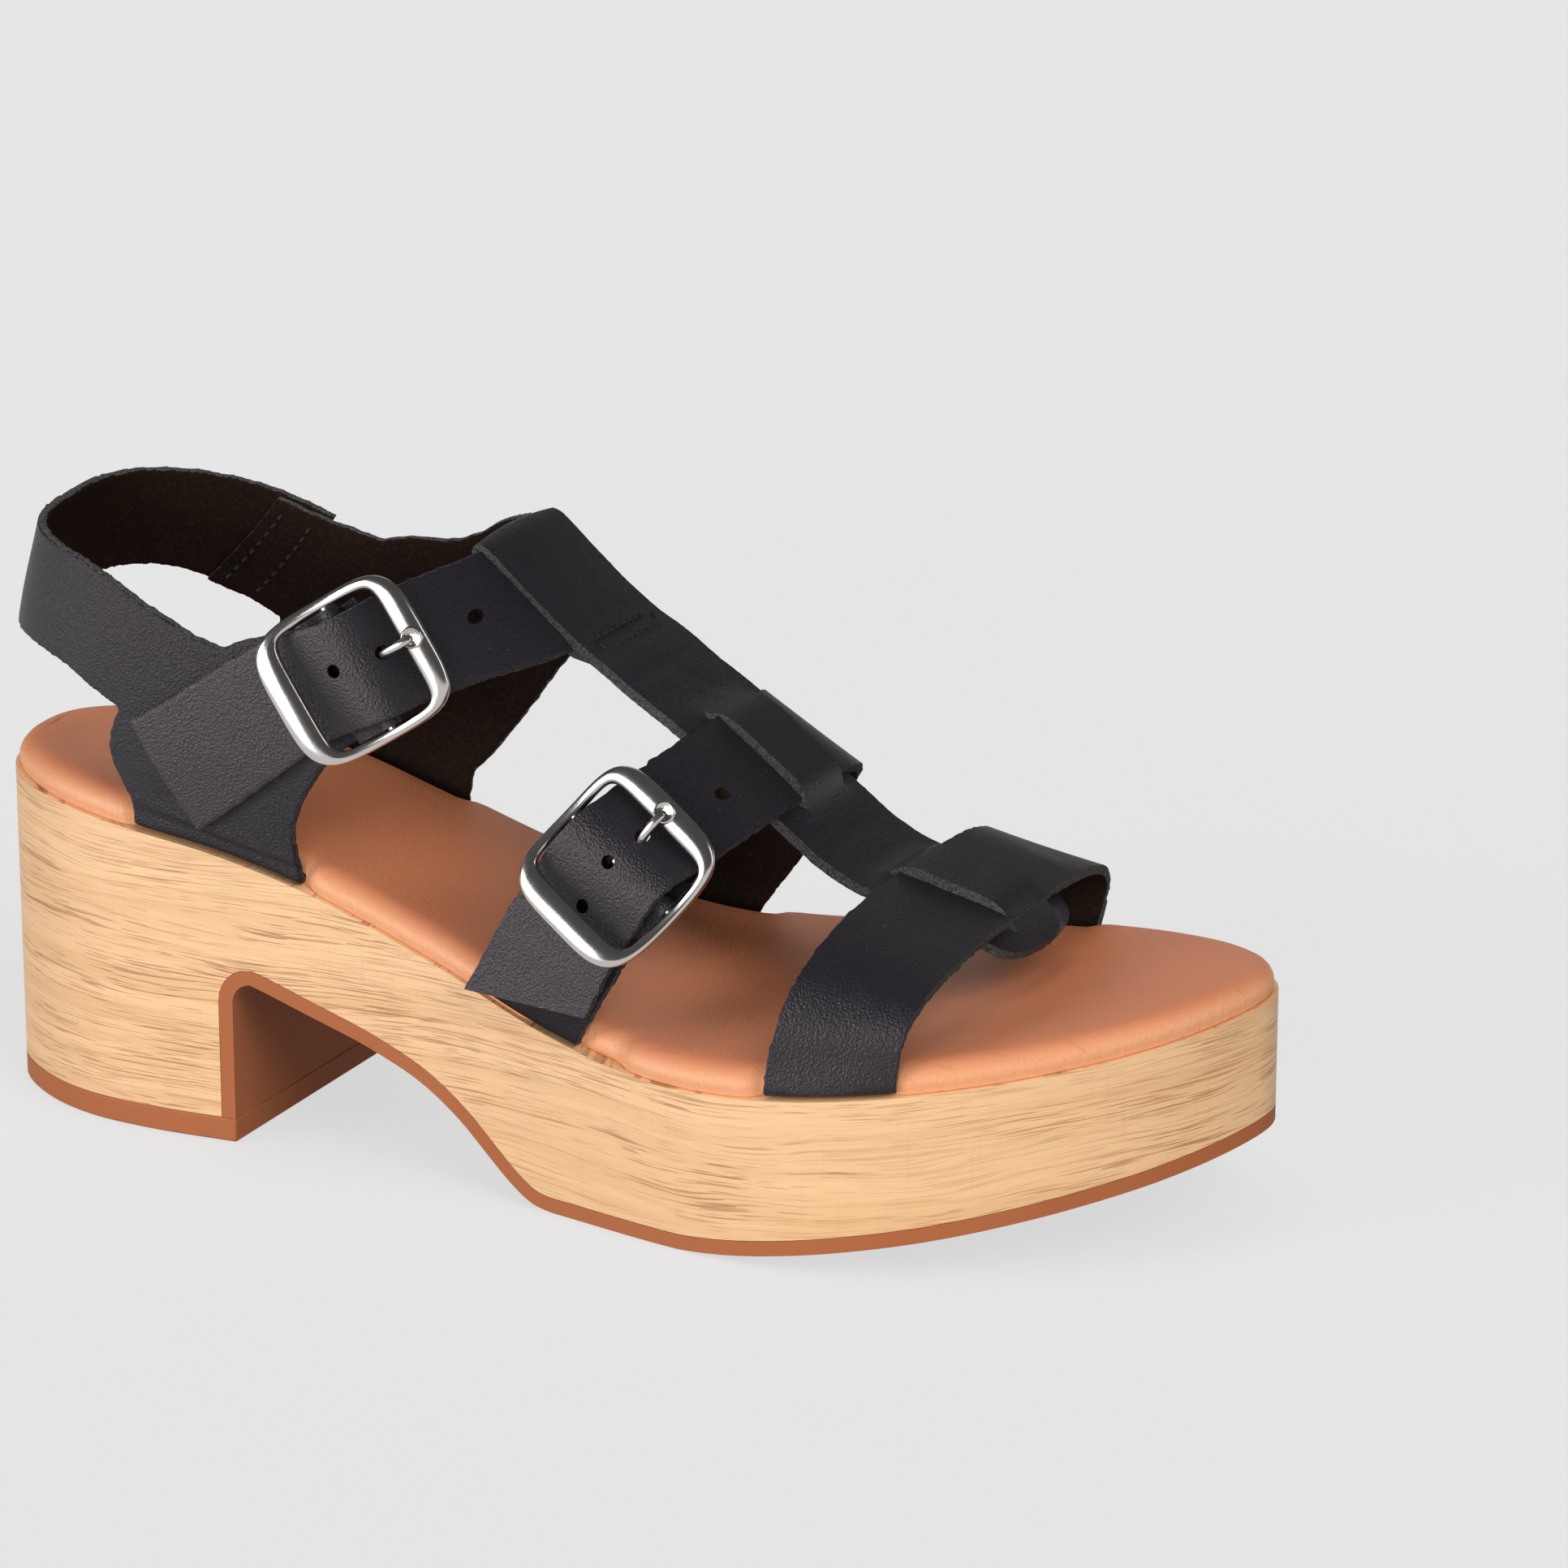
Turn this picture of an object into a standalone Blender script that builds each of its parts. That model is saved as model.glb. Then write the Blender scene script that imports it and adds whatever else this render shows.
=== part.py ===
"""Heeled sandal for the right foot: wood sole block, rubber outsole and heel piece, padded insole,
leather straps joined into one upper, and two centre-bar buckles with their prongs."""
import math
import bpy
import bmesh
import numpy as np

MM = 0.001

# Sole sizes in millimetres; x runs from the heel's back to the toe, y towards the inner side
LENGTH = 246.0
MIDDLE = np.array([LENGTH / 2, -2.4, 0.0])
GAP = 0.3
RUBBER = 2.8
HEEL_PIECE = 4.6
BREAST_X = 56.0
BREAST_TOP = 31.6
BREAST_CORNER = 4.0
BREAST_SKEW = 0.09
BREAST_LEAN_FROM = 40.0
BREAST_FADE = (70.0, 124.0)
BEHIND = -5.0
AHEAD = 251.0
BESIDE = 60.0
ABOVE = 90.0
INSOLE_INSET = 2.2
INSOLE_THICK = 5.6

# Stretches of the underside where its points are set closer or wider: start, end, points
ARCH_RUN = (65.0, 100.0, 7)
CURL_RUN = (104.0, 125.0, 10)
SPRING_RUN = (152.0, AHEAD, 16)

# Leather sizes in millimetres
HALF_LEATHER = 1.1
LAP = 1.7
WALL_INSET = 1.15
TONGUE = 8.0
T_HALF = 14.2
BRIDGE_HALF = 7.6
SLIT = 0.9
BAR_SWELL = 3.8
BAR_SWELL_REACH = 8.6
TAB_PAST_BAR = 4.5
CUT_ROOM = 0.35
RECESS_OUT = 2.0
RECESS_DOWN = 0.6
RECESS_UP = 12.0

# Buckle sizes in millimetres
FRAME_UP = 11.3
FRAME_DOWN = 12.7
FRAME_ACROSS = 12.6
FRAME_SQUARE = 6.5
UPPER_BAR = (4.0, 2.4)
LOWER_BAR = (5.4, 2.8)
SIDE_BAR = (2.1, 2.2)
BAR_CHANGE = 6
CORNER_PULL = 0.15
FRAME_BOW = 1.5
BAR_RADIUS = 1.0
BAR_HEIGHT = 3.7
SEAT_REACH = 6.0
PRONG_RADIUS = 0.8
PRONG_TIP = 0.6
EYE_RADIUS = 1.9
EYE_WIDTH = 2.4

# Sole outline: distance from the heel's back, outer edge, inner edge
OUTLINE = [
    (2.5, -11.0, 11.0),
    (12.0, -20.7, 20.6),
    (24.0, -26.7, 26.8),
    (38.0, -29.1, 29.4),
    (56.0, -29.5, 29.6),
    (74.0, -29.8, 28.1),
    (98.0, -32.7, 28.0),
    (123.0, -38.9, 32.0),
    (148.0, -45.6, 38.9),
    (160.0, -47.7, 41.5),
    (172.0, -48.2, 43.1),
    (184.0, -46.7, 43.4),
    (197.0, -43.0, 42.0),
    (209.0, -37.8, 38.9),
    (221.0, -30.4, 33.9),
    (234.0, -19.2, 25.2),
    (243.0, -6.0, 14.4),
]
HEEL_END = (0.0, 0.0)
TOE_END = (LENGTH, 4.6)

# Top of the wood: distance from the heel's back, height
TOP_LINE = [
    (-6.0, 62.8),
    (12.0, 61.2),
    (25.0, 60.0),
    (37.0, 58.5),
    (49.0, 56.8),
    (61.0, 54.2),
    (74.0, 50.4),
    (98.0, 42.3),
    (123.0, 34.2),
    (136.0, 31.5),
    (148.0, 30.4),
    (160.0, 30.6),
    (172.0, 31.6),
    (197.0, 34.5),
    (221.0, 38.2),
    (234.0, 40.7),
    (252.0, 45.0),
]

# Underside of the rubber from the top of the heel breast to the toe: distance, height
UNDER_LINE = [
    (60.5, 31.4),
    (70.0, 27.9),
    (86.0, 22.6),
    (96.5, 18.0),
    (105.0, 12.2),
    (110.5, 7.4),
    (115.5, 3.3),
    (119.5, 0.9),
    (124.0, 0.0),
    (138.0, 0.0),
    (152.0, 0.0),
    (161.0, 0.8),
    (172.0, 2.4),
    (184.0, 4.4),
    (197.0, 6.8),
    (209.0, 9.4),
    (221.0, 12.2),
    (234.0, 15.5),
    (252.0, 20.6),
]

# Rolled edge of the insole: distance in from its outline, height above the wood
INSOLE_ROLL = [
    (1.6, GAP),
    (0.3, 1.4),
    (0.0, 2.7),
    (0.6, 4.1),
    (2.2, 5.2),
    (5.0, INSOLE_THICK),
]

# Edges of the arched straps, mid thickness: place and height of the crown, slope of x with height,
# sideways swing, widest place on either side, fullness of its outer and inner half, bow of its outer half
ARCH_COLUMNS = ("x", "z", "slope", "skew", "outer", "inner", "full", "round", "bow")
TOE_REAR = dict(zip(ARCH_COLUMNS, (178.4, 60.4, 0.20, 0.09, -47.2, 42.6, 2.6, 3.2, 0.0)))
TOE_FRONT = dict(zip(ARCH_COLUMNS, (199.8, 54.2, 0.21, 0.09, -43.4, 42.0, 2.6, 3.2, 0.0)))
INSTEP_REAR = dict(zip(ARCH_COLUMNS, (142.0, 85.0, 0.72, 0.06, -37.4, 35.4, 3.3, 3.3, 1.7)))
INSTEP_FRONT = dict(zip(ARCH_COLUMNS, (159.3, 72.1, 0.72, 0.06, -40.8, 38.4, 3.3, 3.3, 1.7)))
ARCH_CENTRE = 2.0
ARCH_FOOT = 8.0
INSTEP_TAB_TOP = -0.54
INSTEP_LAP_FADE = (-0.42, -0.20)
FREE_END_LEVEL = (41.0, 39.4)

# Foot of a strap at the sole: height above the wood, distance in from the strap's wall
FOOT = [
    (5.2, -0.05),
    (2.5, 0.0),
    (1.65, 0.1),
    (1.42, 0.5),
    (1.4, 1.5),
    (1.4, TONGUE),
]

# Ankle oval, mid thickness: height, back, front, half width
OVALS = [
    (50.0, 3.0, 169.3, 28.4),
    (62.0, 3.2, 155.7, 30.2),
    (80.0, 3.6, 135.4, 32.4),
    (96.4, 6.6, 116.8, 32.8),
    (111.1, 10.6, 100.1, 31.6),
    (118.0, 12.4, 92.2, 30.6),
]
OVAL_FULL = 3.0
OVAL_FRONT_SHIFT = 5.5
OVAL_FRONT_SKEW = 0.10
FRONT = 200.0
BACK = -20.0

# Straps on the ankle oval: side (-1 outer, 1 inner), front or lower edge x and z,
# rear or upper edge x and z, offset from the oval, half thickness
ANKLE_STRAP = [
    (1, 78.5, 57.0, 37.0, 65.0, 0.0, 1.1),
    (1, 83.5, 62.5, 36.0, 76.0, 0.0, 1.1),
    (1, 89.5, 70.5, 44.0, 93.0, 0.0, 1.1),
    (1, 95.5, 79.0, 61.0, 100.6, 0.0, 1.1),
    (1, 101.0, 86.0, 75.0, 102.0, 0.0, 1.1),
    (1, 107.5, 92.8, 88.0, 108.4, 0.0, 1.1),
    (-1, FRONT, 96.4, FRONT, 111.1, 0.0, 1.1),
    (-1, 109.0, 95.0, 96.0, 112.2, 0.3, 1.1),
    (-1, 101.0, 92.4, 88.5, 110.0, 1.2, 1.1),
    (-1, 93.0, 88.2, 80.3, 105.8, LAP, 1.1),
    (-1, 80.0, 80.8, 66.6, 98.4, LAP, 1.1),
    (-1, 66.0, 71.6, 53.4, 90.6, LAP, 1.1),
    (-1, 51.5, 61.8, 39.2, 81.8, LAP, 1.1),
]
OUTER_QUARTER = [
    (-1, 70.4, 57.0, 36.5, 65.0, 0.0, 1.1),
    (-1, 70.2, 63.5, 33.0, 75.0, 0.0, 1.1),
    (-1, 73.3, 70.8, 40.0, 88.0, 0.0, 1.1),
    (-1, 79.0, 78.6, 60.0, 98.4, 0.0, 1.1),
    (-1, 86.5, 84.6, 73.4, 102.6, 0.0, 1.1),
    (-1, 94.9, 90.0, 82.1, 108.4, 0.0, 1.1),
]
HEEL_STRAP = [
    (-1, 52.0, 73.0, 62.0, 96.4, 0.0, 0.6),
    (-1, 42.0, 79.5, 52.5, 98.9, 0.0, 0.9),
    (-1, 31.0, 85.6, 43.0, 103.3, 0.0, 1.1),
    (-1, 20.0, 90.6, 28.0, 110.0, 0.0, 1.1),
    (1, BACK, 93.0, BACK, 113.4, 0.0, 1.1),
    (1, 15.0, 92.4, 22.0, 111.2, 0.8, 1.1),
    (1, 24.0, 89.3, 36.0, 107.6, LAP, 1.1),
    (1, 34.0, 84.8, 48.5, 103.0, LAP, 1.1),
]
INNER_TAIL = [
    (1, 54.0, 73.0, 66.0, 98.0, 0.0, 0.6),
    (1, 44.0, 79.0, 57.0, 100.6, 0.0, 0.9),
    (1, 34.0, 84.8, 48.0, 102.8, 0.0, 1.0),
    (1, 23.5, 89.4, 38.0, 106.6, 0.0, 1.0),
]

# T-strap from the top of its loop to the rounded toe tab, mid thickness: x, z, y, half width,
# rise of the centre bridge over the strap that passes under it, fall of its edges
T_STRAP = [
    (100.0, 113.8, 5.9, 13.6, 0.0, 0.9),
    (106.8, 107.8, 5.9, 13.6, 0.0, 0.9),
    (113.3, 102.1, 5.8, 13.6, 0.0, 0.9),
    (119.8, 97.0, 5.6, 13.8, 0.0, 0.8),
    (125.0, 93.8, 5.1, T_HALF, 0.0, 0.6),
    (132.0, 89.0, 4.7, T_HALF, 0.0, 0.6),
    (140.5, 83.7, 4.1, T_HALF, 0.0, 0.5),
    (144.0, 81.2, 3.8, T_HALF, 3.6, 0.5),
    (150.5, 76.3, 3.2, T_HALF, 3.8, 0.5),
    (157.0, 71.4, 2.6, T_HALF, 3.6, 0.5),
    (160.5, 68.8, 2.3, T_HALF, 0.0, 0.5),
    (168.0, 63.4, 2.0, T_HALF, 0.0, 0.5),
    (175.5, 59.4, 2.0, T_HALF, 0.0, 0.3),
    (179.5, 58.1, 2.2, T_HALF, 3.4, 0.2),
    (188.0, 55.7, 2.6, T_HALF, 3.6, 0.2),
    (195.5, 53.5, 3.0, T_HALF, 3.4, 0.2),
    (198.6, 51.9, 3.2, 14.0, 0.0, 0.3),
    (200.4, 49.6, 4.0, 13.2, 0.0, 0.4),
    (201.3, 47.2, 5.0, 11.0, 0.0, 0.4),
    (201.5, 45.2, 6.0, 7.0, 0.0, 0.2),
]
T_SKEW = 0.10

# Fold and inner leg of the T-strap's loop behind the ankle strap, mid thickness: x, z, fall of its edges
T_LOOP = [
    (101.1, 112.9, 0.9),
    (100.0, 113.8, 0.9),
    (98.4, 114.2, 0.9),
    (97.2, 113.0, 0.9),
    (97.8, 111.4, 0.9),
    (99.6, 109.9, 0.9),
    (105.1, 105.1, 0.9),
    (110.7, 100.2, 0.9),
    (116.3, 95.2, 0.9),
    (118.7, 94.6, 0.8),
    (121.3, 93.9, 0.8),
    (124.6, 92.0, 0.7),
    (127.7, 89.8, 0.6),
]
T_LOOP_HALF = 13.4
T_LOOP_Y = 5.9
T_LOOP_HALF_LEATHER = 1.0
T_LOOP_FALL = (0.66, 0.75)

# Prong from its eye through the strap's hole to its tip: distance along the strap, height
PRONG_PATH = [
    (1.4, 3.4),
    (3.4, 2.8),
    (5.4, 2.6),
    (6.8, 3.6),
    (7.7, 5.6),
    (8.7, 7.2),
    (10.2, 7.7),
    (11.8, 7.4),
    (12.9, 6.8),
]

# Colour, roughness and metallic value of each piece
WOOD = ((0.62, 0.39, 0.20), 0.45, 0.0)
SHEET_RUBBER = ((0.36, 0.15, 0.08), 0.60, 0.0)
TAN_LEATHER = ((0.52, 0.22, 0.10), 0.45, 0.0)
BLACK_LEATHER = ((0.012, 0.012, 0.016), 0.38, 0.0)
NICKEL = ((0.80, 0.79, 0.77), 0.12, 1.0)


def hermite(knots, values, at):
    """Smooth curve through rows of values at rising knots, read at the places in at."""
    knots = np.asarray(knots, float)
    values = np.asarray(values, float)
    at = np.asarray(at, float)
    step = np.diff(knots)[:, None]
    slope = np.diff(values, axis=0) / step
    tangent = np.vstack([slope[:1], slope[-1:]])
    inner = (slope[:-1] * step[1:] + slope[1:] * step[:-1]) / (step[:-1] + step[1:])
    tangent = np.vstack([tangent[:1], inner, tangent[1:]])
    i = np.clip(np.searchsorted(knots, at, side="right") - 1, 0, len(knots) - 2)
    h = step[i]
    u = (at - knots[i])[:, None] / h
    rise = 3 * u**2 - 2 * u**3
    return (values[i] * (1 - rise) + values[i + 1] * rise
            + h * tangent[i] * (u**3 - 2 * u**2 + u) + h * tangent[i + 1] * (u**3 - u**2))


def column(rows, x, place=1):
    """A table's column read smoothly at x, which is its first column."""
    rows = np.asarray(rows, float)
    return hermite(rows[:, 0], rows[:, place:place + 1], np.atleast_1d(x))[:, 0]


def wood_top(x):
    return column(TOP_LINE, x)


def outline_edge(x, side):
    """Outer (-1) or inner (1) edge of the sole at x, away from its rounded ends."""
    return column(OUTLINE, x, 1 if side < 0 else 2)


def resample(rows, steps):
    """Rows of numbers made smooth and dense, with knots spaced by the root of their distance."""
    rows = np.asarray(rows, float)
    gap = np.linalg.norm(np.diff(rows, axis=0), axis=1) ** 0.5
    knots = np.concatenate([[0.0], np.cumsum(gap)])
    spans = zip(knots, knots[1:])
    at = np.concatenate([np.linspace(a, b, steps, endpoint=False) for a, b in spans])
    return hermite(knots, rows, np.append(at, knots[-1]))


def sole_chains(inset=0.0, steps=3):
    """Outer and inner chains of outline points from heel end to toe end, moved in by inset."""
    outer = [HEEL_END] + [(row[0], row[1]) for row in OUTLINE] + [TOE_END]
    inner = [(row[0], row[2]) for row in OUTLINE]
    loop = outer + inner[::-1]
    wrap = 3
    dense = resample(loop[-wrap:] + loop + loop[:wrap], steps)[(wrap - 1) * steps:]
    dense = dense[:(len(loop) + 2) * steps]
    tangent = np.gradient(dense, axis=0)
    tangent /= np.linalg.norm(tangent, axis=1)[:, None]
    normal = np.stack([-tangent[:, 1], tangent[:, 0]], axis=1)
    ring = (dense + normal * inset)[steps:-steps]
    half = (len(outer) - 1) * steps
    return ring[:half + 1], np.vstack([ring[half:], ring[:1]])[::-1]


def closed_loop(chains):
    """One closed loop of points from the two chains."""
    return np.vstack([chains[0], chains[1][-2:0:-1]])


def make(name, points, faces):
    """Mesh object from points in millimetres, centred on the sole, with its faces looking out."""
    mesh = bpy.data.meshes.new(name)
    mesh.from_pydata(((np.asarray(points, float) - MIDDLE) * MM).tolist(), [], faces)
    bm = bmesh.new()
    bm.from_mesh(mesh)
    bmesh.ops.recalc_face_normals(bm, faces=bm.faces)
    if bm.calc_volume(signed=True) < 0:
        bmesh.ops.reverse_faces(bm, faces=bm.faces)
    bm.to_mesh(mesh)
    bm.free()
    obj = bpy.data.objects.new(name, mesh)
    bpy.context.scene.collection.objects.link(obj)
    return obj


def combine(target, other, operation):
    """Boolean of two objects, applied to the first; the second is used up."""
    modifier = target.modifiers.new("join", "BOOLEAN")
    modifier.operation = operation
    modifier.solver = "EXACT"
    modifier.object = other
    graph = bpy.context.evaluated_depsgraph_get()
    mesh = bpy.data.meshes.new_from_object(target.evaluated_get(graph))
    target.modifiers.clear()
    target.data = mesh
    bpy.data.objects.remove(other)
    return target


def finish(obj, look, angle=35.0):
    """Material and shading of a finished piece."""
    colour, roughness, metallic = look
    material = bpy.data.materials.new(obj.name)
    material.use_nodes = True
    shader = material.node_tree.nodes["Principled BSDF"]
    shader.inputs["Base Color"].default_value = (*colour, 1.0)
    shader.inputs["Roughness"].default_value = roughness
    shader.inputs["Metallic"].default_value = metallic
    obj.data.materials.clear()
    obj.data.materials.append(material)
    obj.data.shade_smooth()
    obj.data.set_sharp_from_angle(angle=math.radians(angle))
    return obj


def bridge_rings(count, rings):
    """Quads between rings of equal count, ring after ring."""
    faces = []
    for k in range(rings - 1):
        for i in range(count):
            j = (i + 1) % count
            low = k * count
            faces.append((low + i, low + j, low + count + j, low + count + i))
    return faces


def prism(name, loop, low, high):
    """Upright prism over a closed loop of outline points."""
    count = len(loop)
    points = [(x, y, low) for x, y in loop] + [(x, y, high) for x, y in loop]
    caps = [tuple(range(count)), tuple(range(2 * count - 1, count - 1, -1))]
    return make(name, points, caps + bridge_rings(count, 2))


def slab(name, under, over, strips=4):
    """Side view carried across the shoe; its underside leans with the skewed heel breast."""
    section = [tuple(p) for p in under] + [tuple(p) for p in over]
    hinge = float(outline_edge(BREAST_X, -1)[0])
    stops = (BREAST_LEAN_FROM, BREAST_LEAN_FROM + 1.0) + BREAST_FADE
    points = []
    for y in np.linspace(-BESIDE, BESIDE, strips + 1):
        for i, (x, z) in enumerate(section):
            lean = np.interp(x, stops, (0.0, 1.0, 1.0, 0.0)) if i < len(under) else 0.0
            points.append((x + BREAST_SKEW * (y - hinge) * lean, y, z))
    count = len(section)
    last = strips * count
    caps = [tuple(range(count)), tuple(range(last + count - 1, last - 1, -1))]
    return make(name, points, caps + bridge_rings(count, strips + 1))


def under_line(depth, foot):
    """Underside from the heel breast at height foot to beyond the toe, set into the sole by depth."""
    angles = np.radians([0.0, 30.0, 60.0, 85.0])
    turn = np.column_stack([BREAST_X + BREAST_CORNER * (1 - np.cos(angles)),
                            BREAST_TOP - BREAST_CORNER * (1 - np.sin(angles))])
    xs = np.concatenate([np.linspace(*run) for run in (ARCH_RUN, CURL_RUN, SPRING_RUN)])
    heights = np.maximum(column(UNDER_LINE, xs), 0.0)
    line = np.vstack([[(BREAST_X, foot)], turn, np.column_stack([xs, heights])])
    tangent = np.gradient(line, axis=0)
    tangent[0] = (0.0, 1.0)
    tangent[1] = (0.0, 1.0)
    tangent /= np.linalg.norm(tangent, axis=1)[:, None]
    return line + np.stack([-tangent[:, 1], tangent[:, 0]], axis=1) * depth


def sole_parts():
    """Wood block, rubber outsole and heel piece, all flush with one outline."""
    loop = closed_loop(sole_chains())
    xs = np.linspace(AHEAD, BEHIND, 48)
    top = np.column_stack([xs, wood_top(xs)])
    seat = HEEL_PIECE + GAP

    under = np.vstack([[(BEHIND, seat)], under_line(RUBBER + GAP, seat)])
    block = combine(slab("sole_block", under, top), prism("outline", loop, BEHIND, ABOVE), "INTERSECT")

    sheet_rubber = np.vstack([under_line(0.0, seat), under_line(RUBBER, seat)[::-1]])
    rubber = combine(slab("outsole", sheet_rubber, []), prism("outline", loop, BEHIND, ABOVE), "INTERSECT")

    heel = [(BEHIND, 0.0), (BREAST_X, 0.0), (BREAST_X, HEEL_PIECE), (BEHIND, HEEL_PIECE)]
    piece = combine(slab("heel_top_piece", heel, []), prism("outline", loop, BEHIND, ABOVE), "INTERSECT")
    finish(block, WOOD)
    finish(rubber, SHEET_RUBBER)
    finish(piece, SHEET_RUBBER)


def insole_part(cutters):
    """Padded insole on the wood, with a rolled edge and a recess for each strap's foot."""
    rings = []
    for distance, height in INSOLE_ROLL:
        ring = closed_loop(sole_chains(INSOLE_INSET + distance))
        rings.append(np.column_stack([ring, wood_top(ring[:, 0]) + height]))
    count = len(rings[0])
    half = count // 2
    faces = bridge_rings(count, len(rings))
    for base in (0, (len(rings) - 1) * count):
        faces.append((base, base + 1, base + count - 1))
        for i in range(1, half - 1):
            faces.append((base + i, base + i + 1, base + count - i - 1, base + count - i))
        faces.append((base + half - 1, base + half, base + half + 1))
    obj = make("insole", np.vstack(rings), faces)
    for cutter in cutters:
        combine(obj, cutter, "DIFFERENCE")
    return finish(obj, TAN_LEATHER)


def recess(row, side):
    """Room in the insole for the strap foot whose tongue ends on a row of points."""
    xs = np.linspace(row[:, 0].min() - 3 * CUT_ROOM, row[:, 0].max() + 3 * CUT_ROOM, 5)
    wall = WALL_INSET + HALF_LEATHER + CUT_ROOM
    tongue = WALL_INSET + TONGUE + CUT_ROOM
    ceiling = FOOT[-1][0] + HALF_LEATHER + CUT_ROOM
    section = [(-RECESS_OUT, -RECESS_DOWN), (-RECESS_OUT, RECESS_UP), (wall, RECESS_UP),
               (wall, ceiling), (tongue, ceiling), (tongue, -RECESS_DOWN)]
    points = []
    for x, edge, top in zip(xs, outline_edge(xs, side), wood_top(xs)):
        points += [(x, edge - side * inward, top + height) for inward, height in section]
    count = len(section)
    last = (len(xs) - 1) * count
    caps = [tuple(range(count)), tuple(range(last + count - 1, last - 1, -1))]
    return make("recess", points, caps + bridge_rings(count, len(xs)))


def spread(value, shape):
    return np.broadcast_to(np.asarray(value, float).reshape(-1, 1), shape)


def sheet(name, grid, under, over, across=None, present=None):
    """Closed sheet about a grid of mid points; under and over are distances along its normal.

    Cells that are not present leave a hole with its own walls."""
    rows, cols = grid.shape[:2]
    along = np.gradient(grid, axis=0)
    sideways = np.gradient(grid, axis=1) if across is None else np.broadcast_to(across, grid.shape)
    normal = np.cross(along, sideways)
    normal /= np.linalg.norm(normal, axis=2)[..., None]
    low = grid + normal * spread(under, (rows, cols))[..., None]
    high = grid + normal * spread(over, (rows, cols))[..., None]
    size = rows * cols
    if present is None:
        present = np.ones((rows - 1, cols - 1), bool)
    faces = []
    edges = {}
    for i, j in zip(*np.nonzero(present)):
        a = int(i * cols + j)
        quad = (a, a + 1, a + cols + 1, a + cols)
        faces.append(quad)
        faces.append(tuple(size + k for k in quad[::-1]))
        for p, q in zip(quad, quad[1:] + quad[:1]):
            if (q, p) in edges:
                del edges[(q, p)]
            else:
                edges[(p, q)] = True
    faces += [(q, p, size + p, size + q) for p, q in edges]
    points = np.vstack([low.reshape(-1, 3), high.reshape(-1, 3)])
    used = sorted({k for face in faces for k in face})
    order = {k: n for n, k in enumerate(used)}
    return make(name, points[used], [tuple(order[k] for k in face) for face in faces])


def blend(first, second, share):
    return {key: first[key] + (second[key] - first[key]) * share for key in first}


def arch_low(edge, side):
    """Height at which an arched edge passes into its foot."""
    reach = (edge["outer"] if side < 0 else edge["inner"]) - ARCH_CENTRE
    low = 40.0
    for _ in range(12):
        x = edge["x"] - edge["slope"] * (edge["z"] - low) + edge["skew"] * reach
        low = float(wood_top(x)[0]) + ARCH_FOOT
    return low


def arch_x(edge, y, z):
    return edge["x"] - edge["slope"] * (edge["z"] - z) + edge["skew"] * (y - ARCH_CENTRE)


def arch_line(edge, shares):
    """Points of an arched edge; a share runs from -1 at the outer side to 1 at the inner side."""
    points = []
    for share in shares:
        side = -1 if share < 0 else 1
        c = math.cos(abs(share) * math.pi / 2)
        s = math.sin(abs(share) * math.pi / 2)
        power = edge["full"] if side < 0 else edge["round"]
        radius = (c ** power + s ** power) ** (-1.0 / power)
        reach = (edge["outer"] if side < 0 else edge["inner"]) - ARCH_CENTRE
        low = arch_low(edge, side)
        y = ARCH_CENTRE + reach * radius * s
        z = low + (edge["z"] - low) * radius * c
        bow = edge["bow"] * math.sin(math.pi * radius * c) if side < 0 else 0.0
        points.append((arch_x(edge, y, z) - bow, y, z))
    return np.array(points)


def foot_line(xs, side):
    """Rows of points that carry a strap down to the wood and in under the insole."""
    xs = np.asarray(xs, float)
    wall = outline_edge(xs, side) - side * WALL_INSET
    rows = []
    for height, inward in FOOT:
        rows.append(np.column_stack([xs, wall - side * inward, wood_top(xs) + height]))
    return np.array(rows)


def arch_grid(rear, front, shares, cells, outer_foot, inner_foot):
    """Grid of an arched strap from its outer to its inner side, with a foot where it has one."""
    places = np.linspace(0.0, 1.0, cells + 1)
    edges = [blend(rear, front, share) for share in places]
    grid = np.stack([arch_line(edge, shares) for edge in edges], axis=1)
    feet = {}
    for side, end in ((-1, grid[0]), (1, grid[-1])):
        lean = np.array([edge["slope"] for edge in edges]) * ARCH_FOOT / 2
        feet[side] = foot_line(end[:, 0] - lean, side)
    parts = [feet[-1][::-1]] if outer_foot else []
    parts.append(grid)
    if inner_foot:
        parts.append(feet[1])
    return np.concatenate(parts)[:, ::-1]


def oval(turn, z):
    """Point of the ankle oval; the turn is 0 at the front, 90 at the inner side and 180 at the back."""
    table = np.asarray(OVALS)
    back, front, half = hermite(table[:, 0], table[:, 1:], np.atleast_1d(z))[0]
    c = math.cos(math.radians(turn))
    s = math.sin(math.radians(turn))
    radius = (abs(c) ** OVAL_FULL + abs(s) ** OVAL_FULL) ** (-1.0 / OVAL_FULL)
    ahead = max(0.0, c) ** 2
    y = half * radius * s + OVAL_FRONT_SHIFT * ahead
    x = (front + back) / 2 + (front - back) / 2 * radius * c + OVAL_FRONT_SKEW * y * ahead
    return (x, y, z)


def turn_at(x, z, side):
    """Turn round the ankle oval at which its side passes x."""
    low, high = 0.0, 180.0
    for _ in range(30):
        middle = (low + high) / 2
        if oval(side * middle, z)[0] > x:
            low = middle
        else:
            high = middle
    return side * middle


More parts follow.
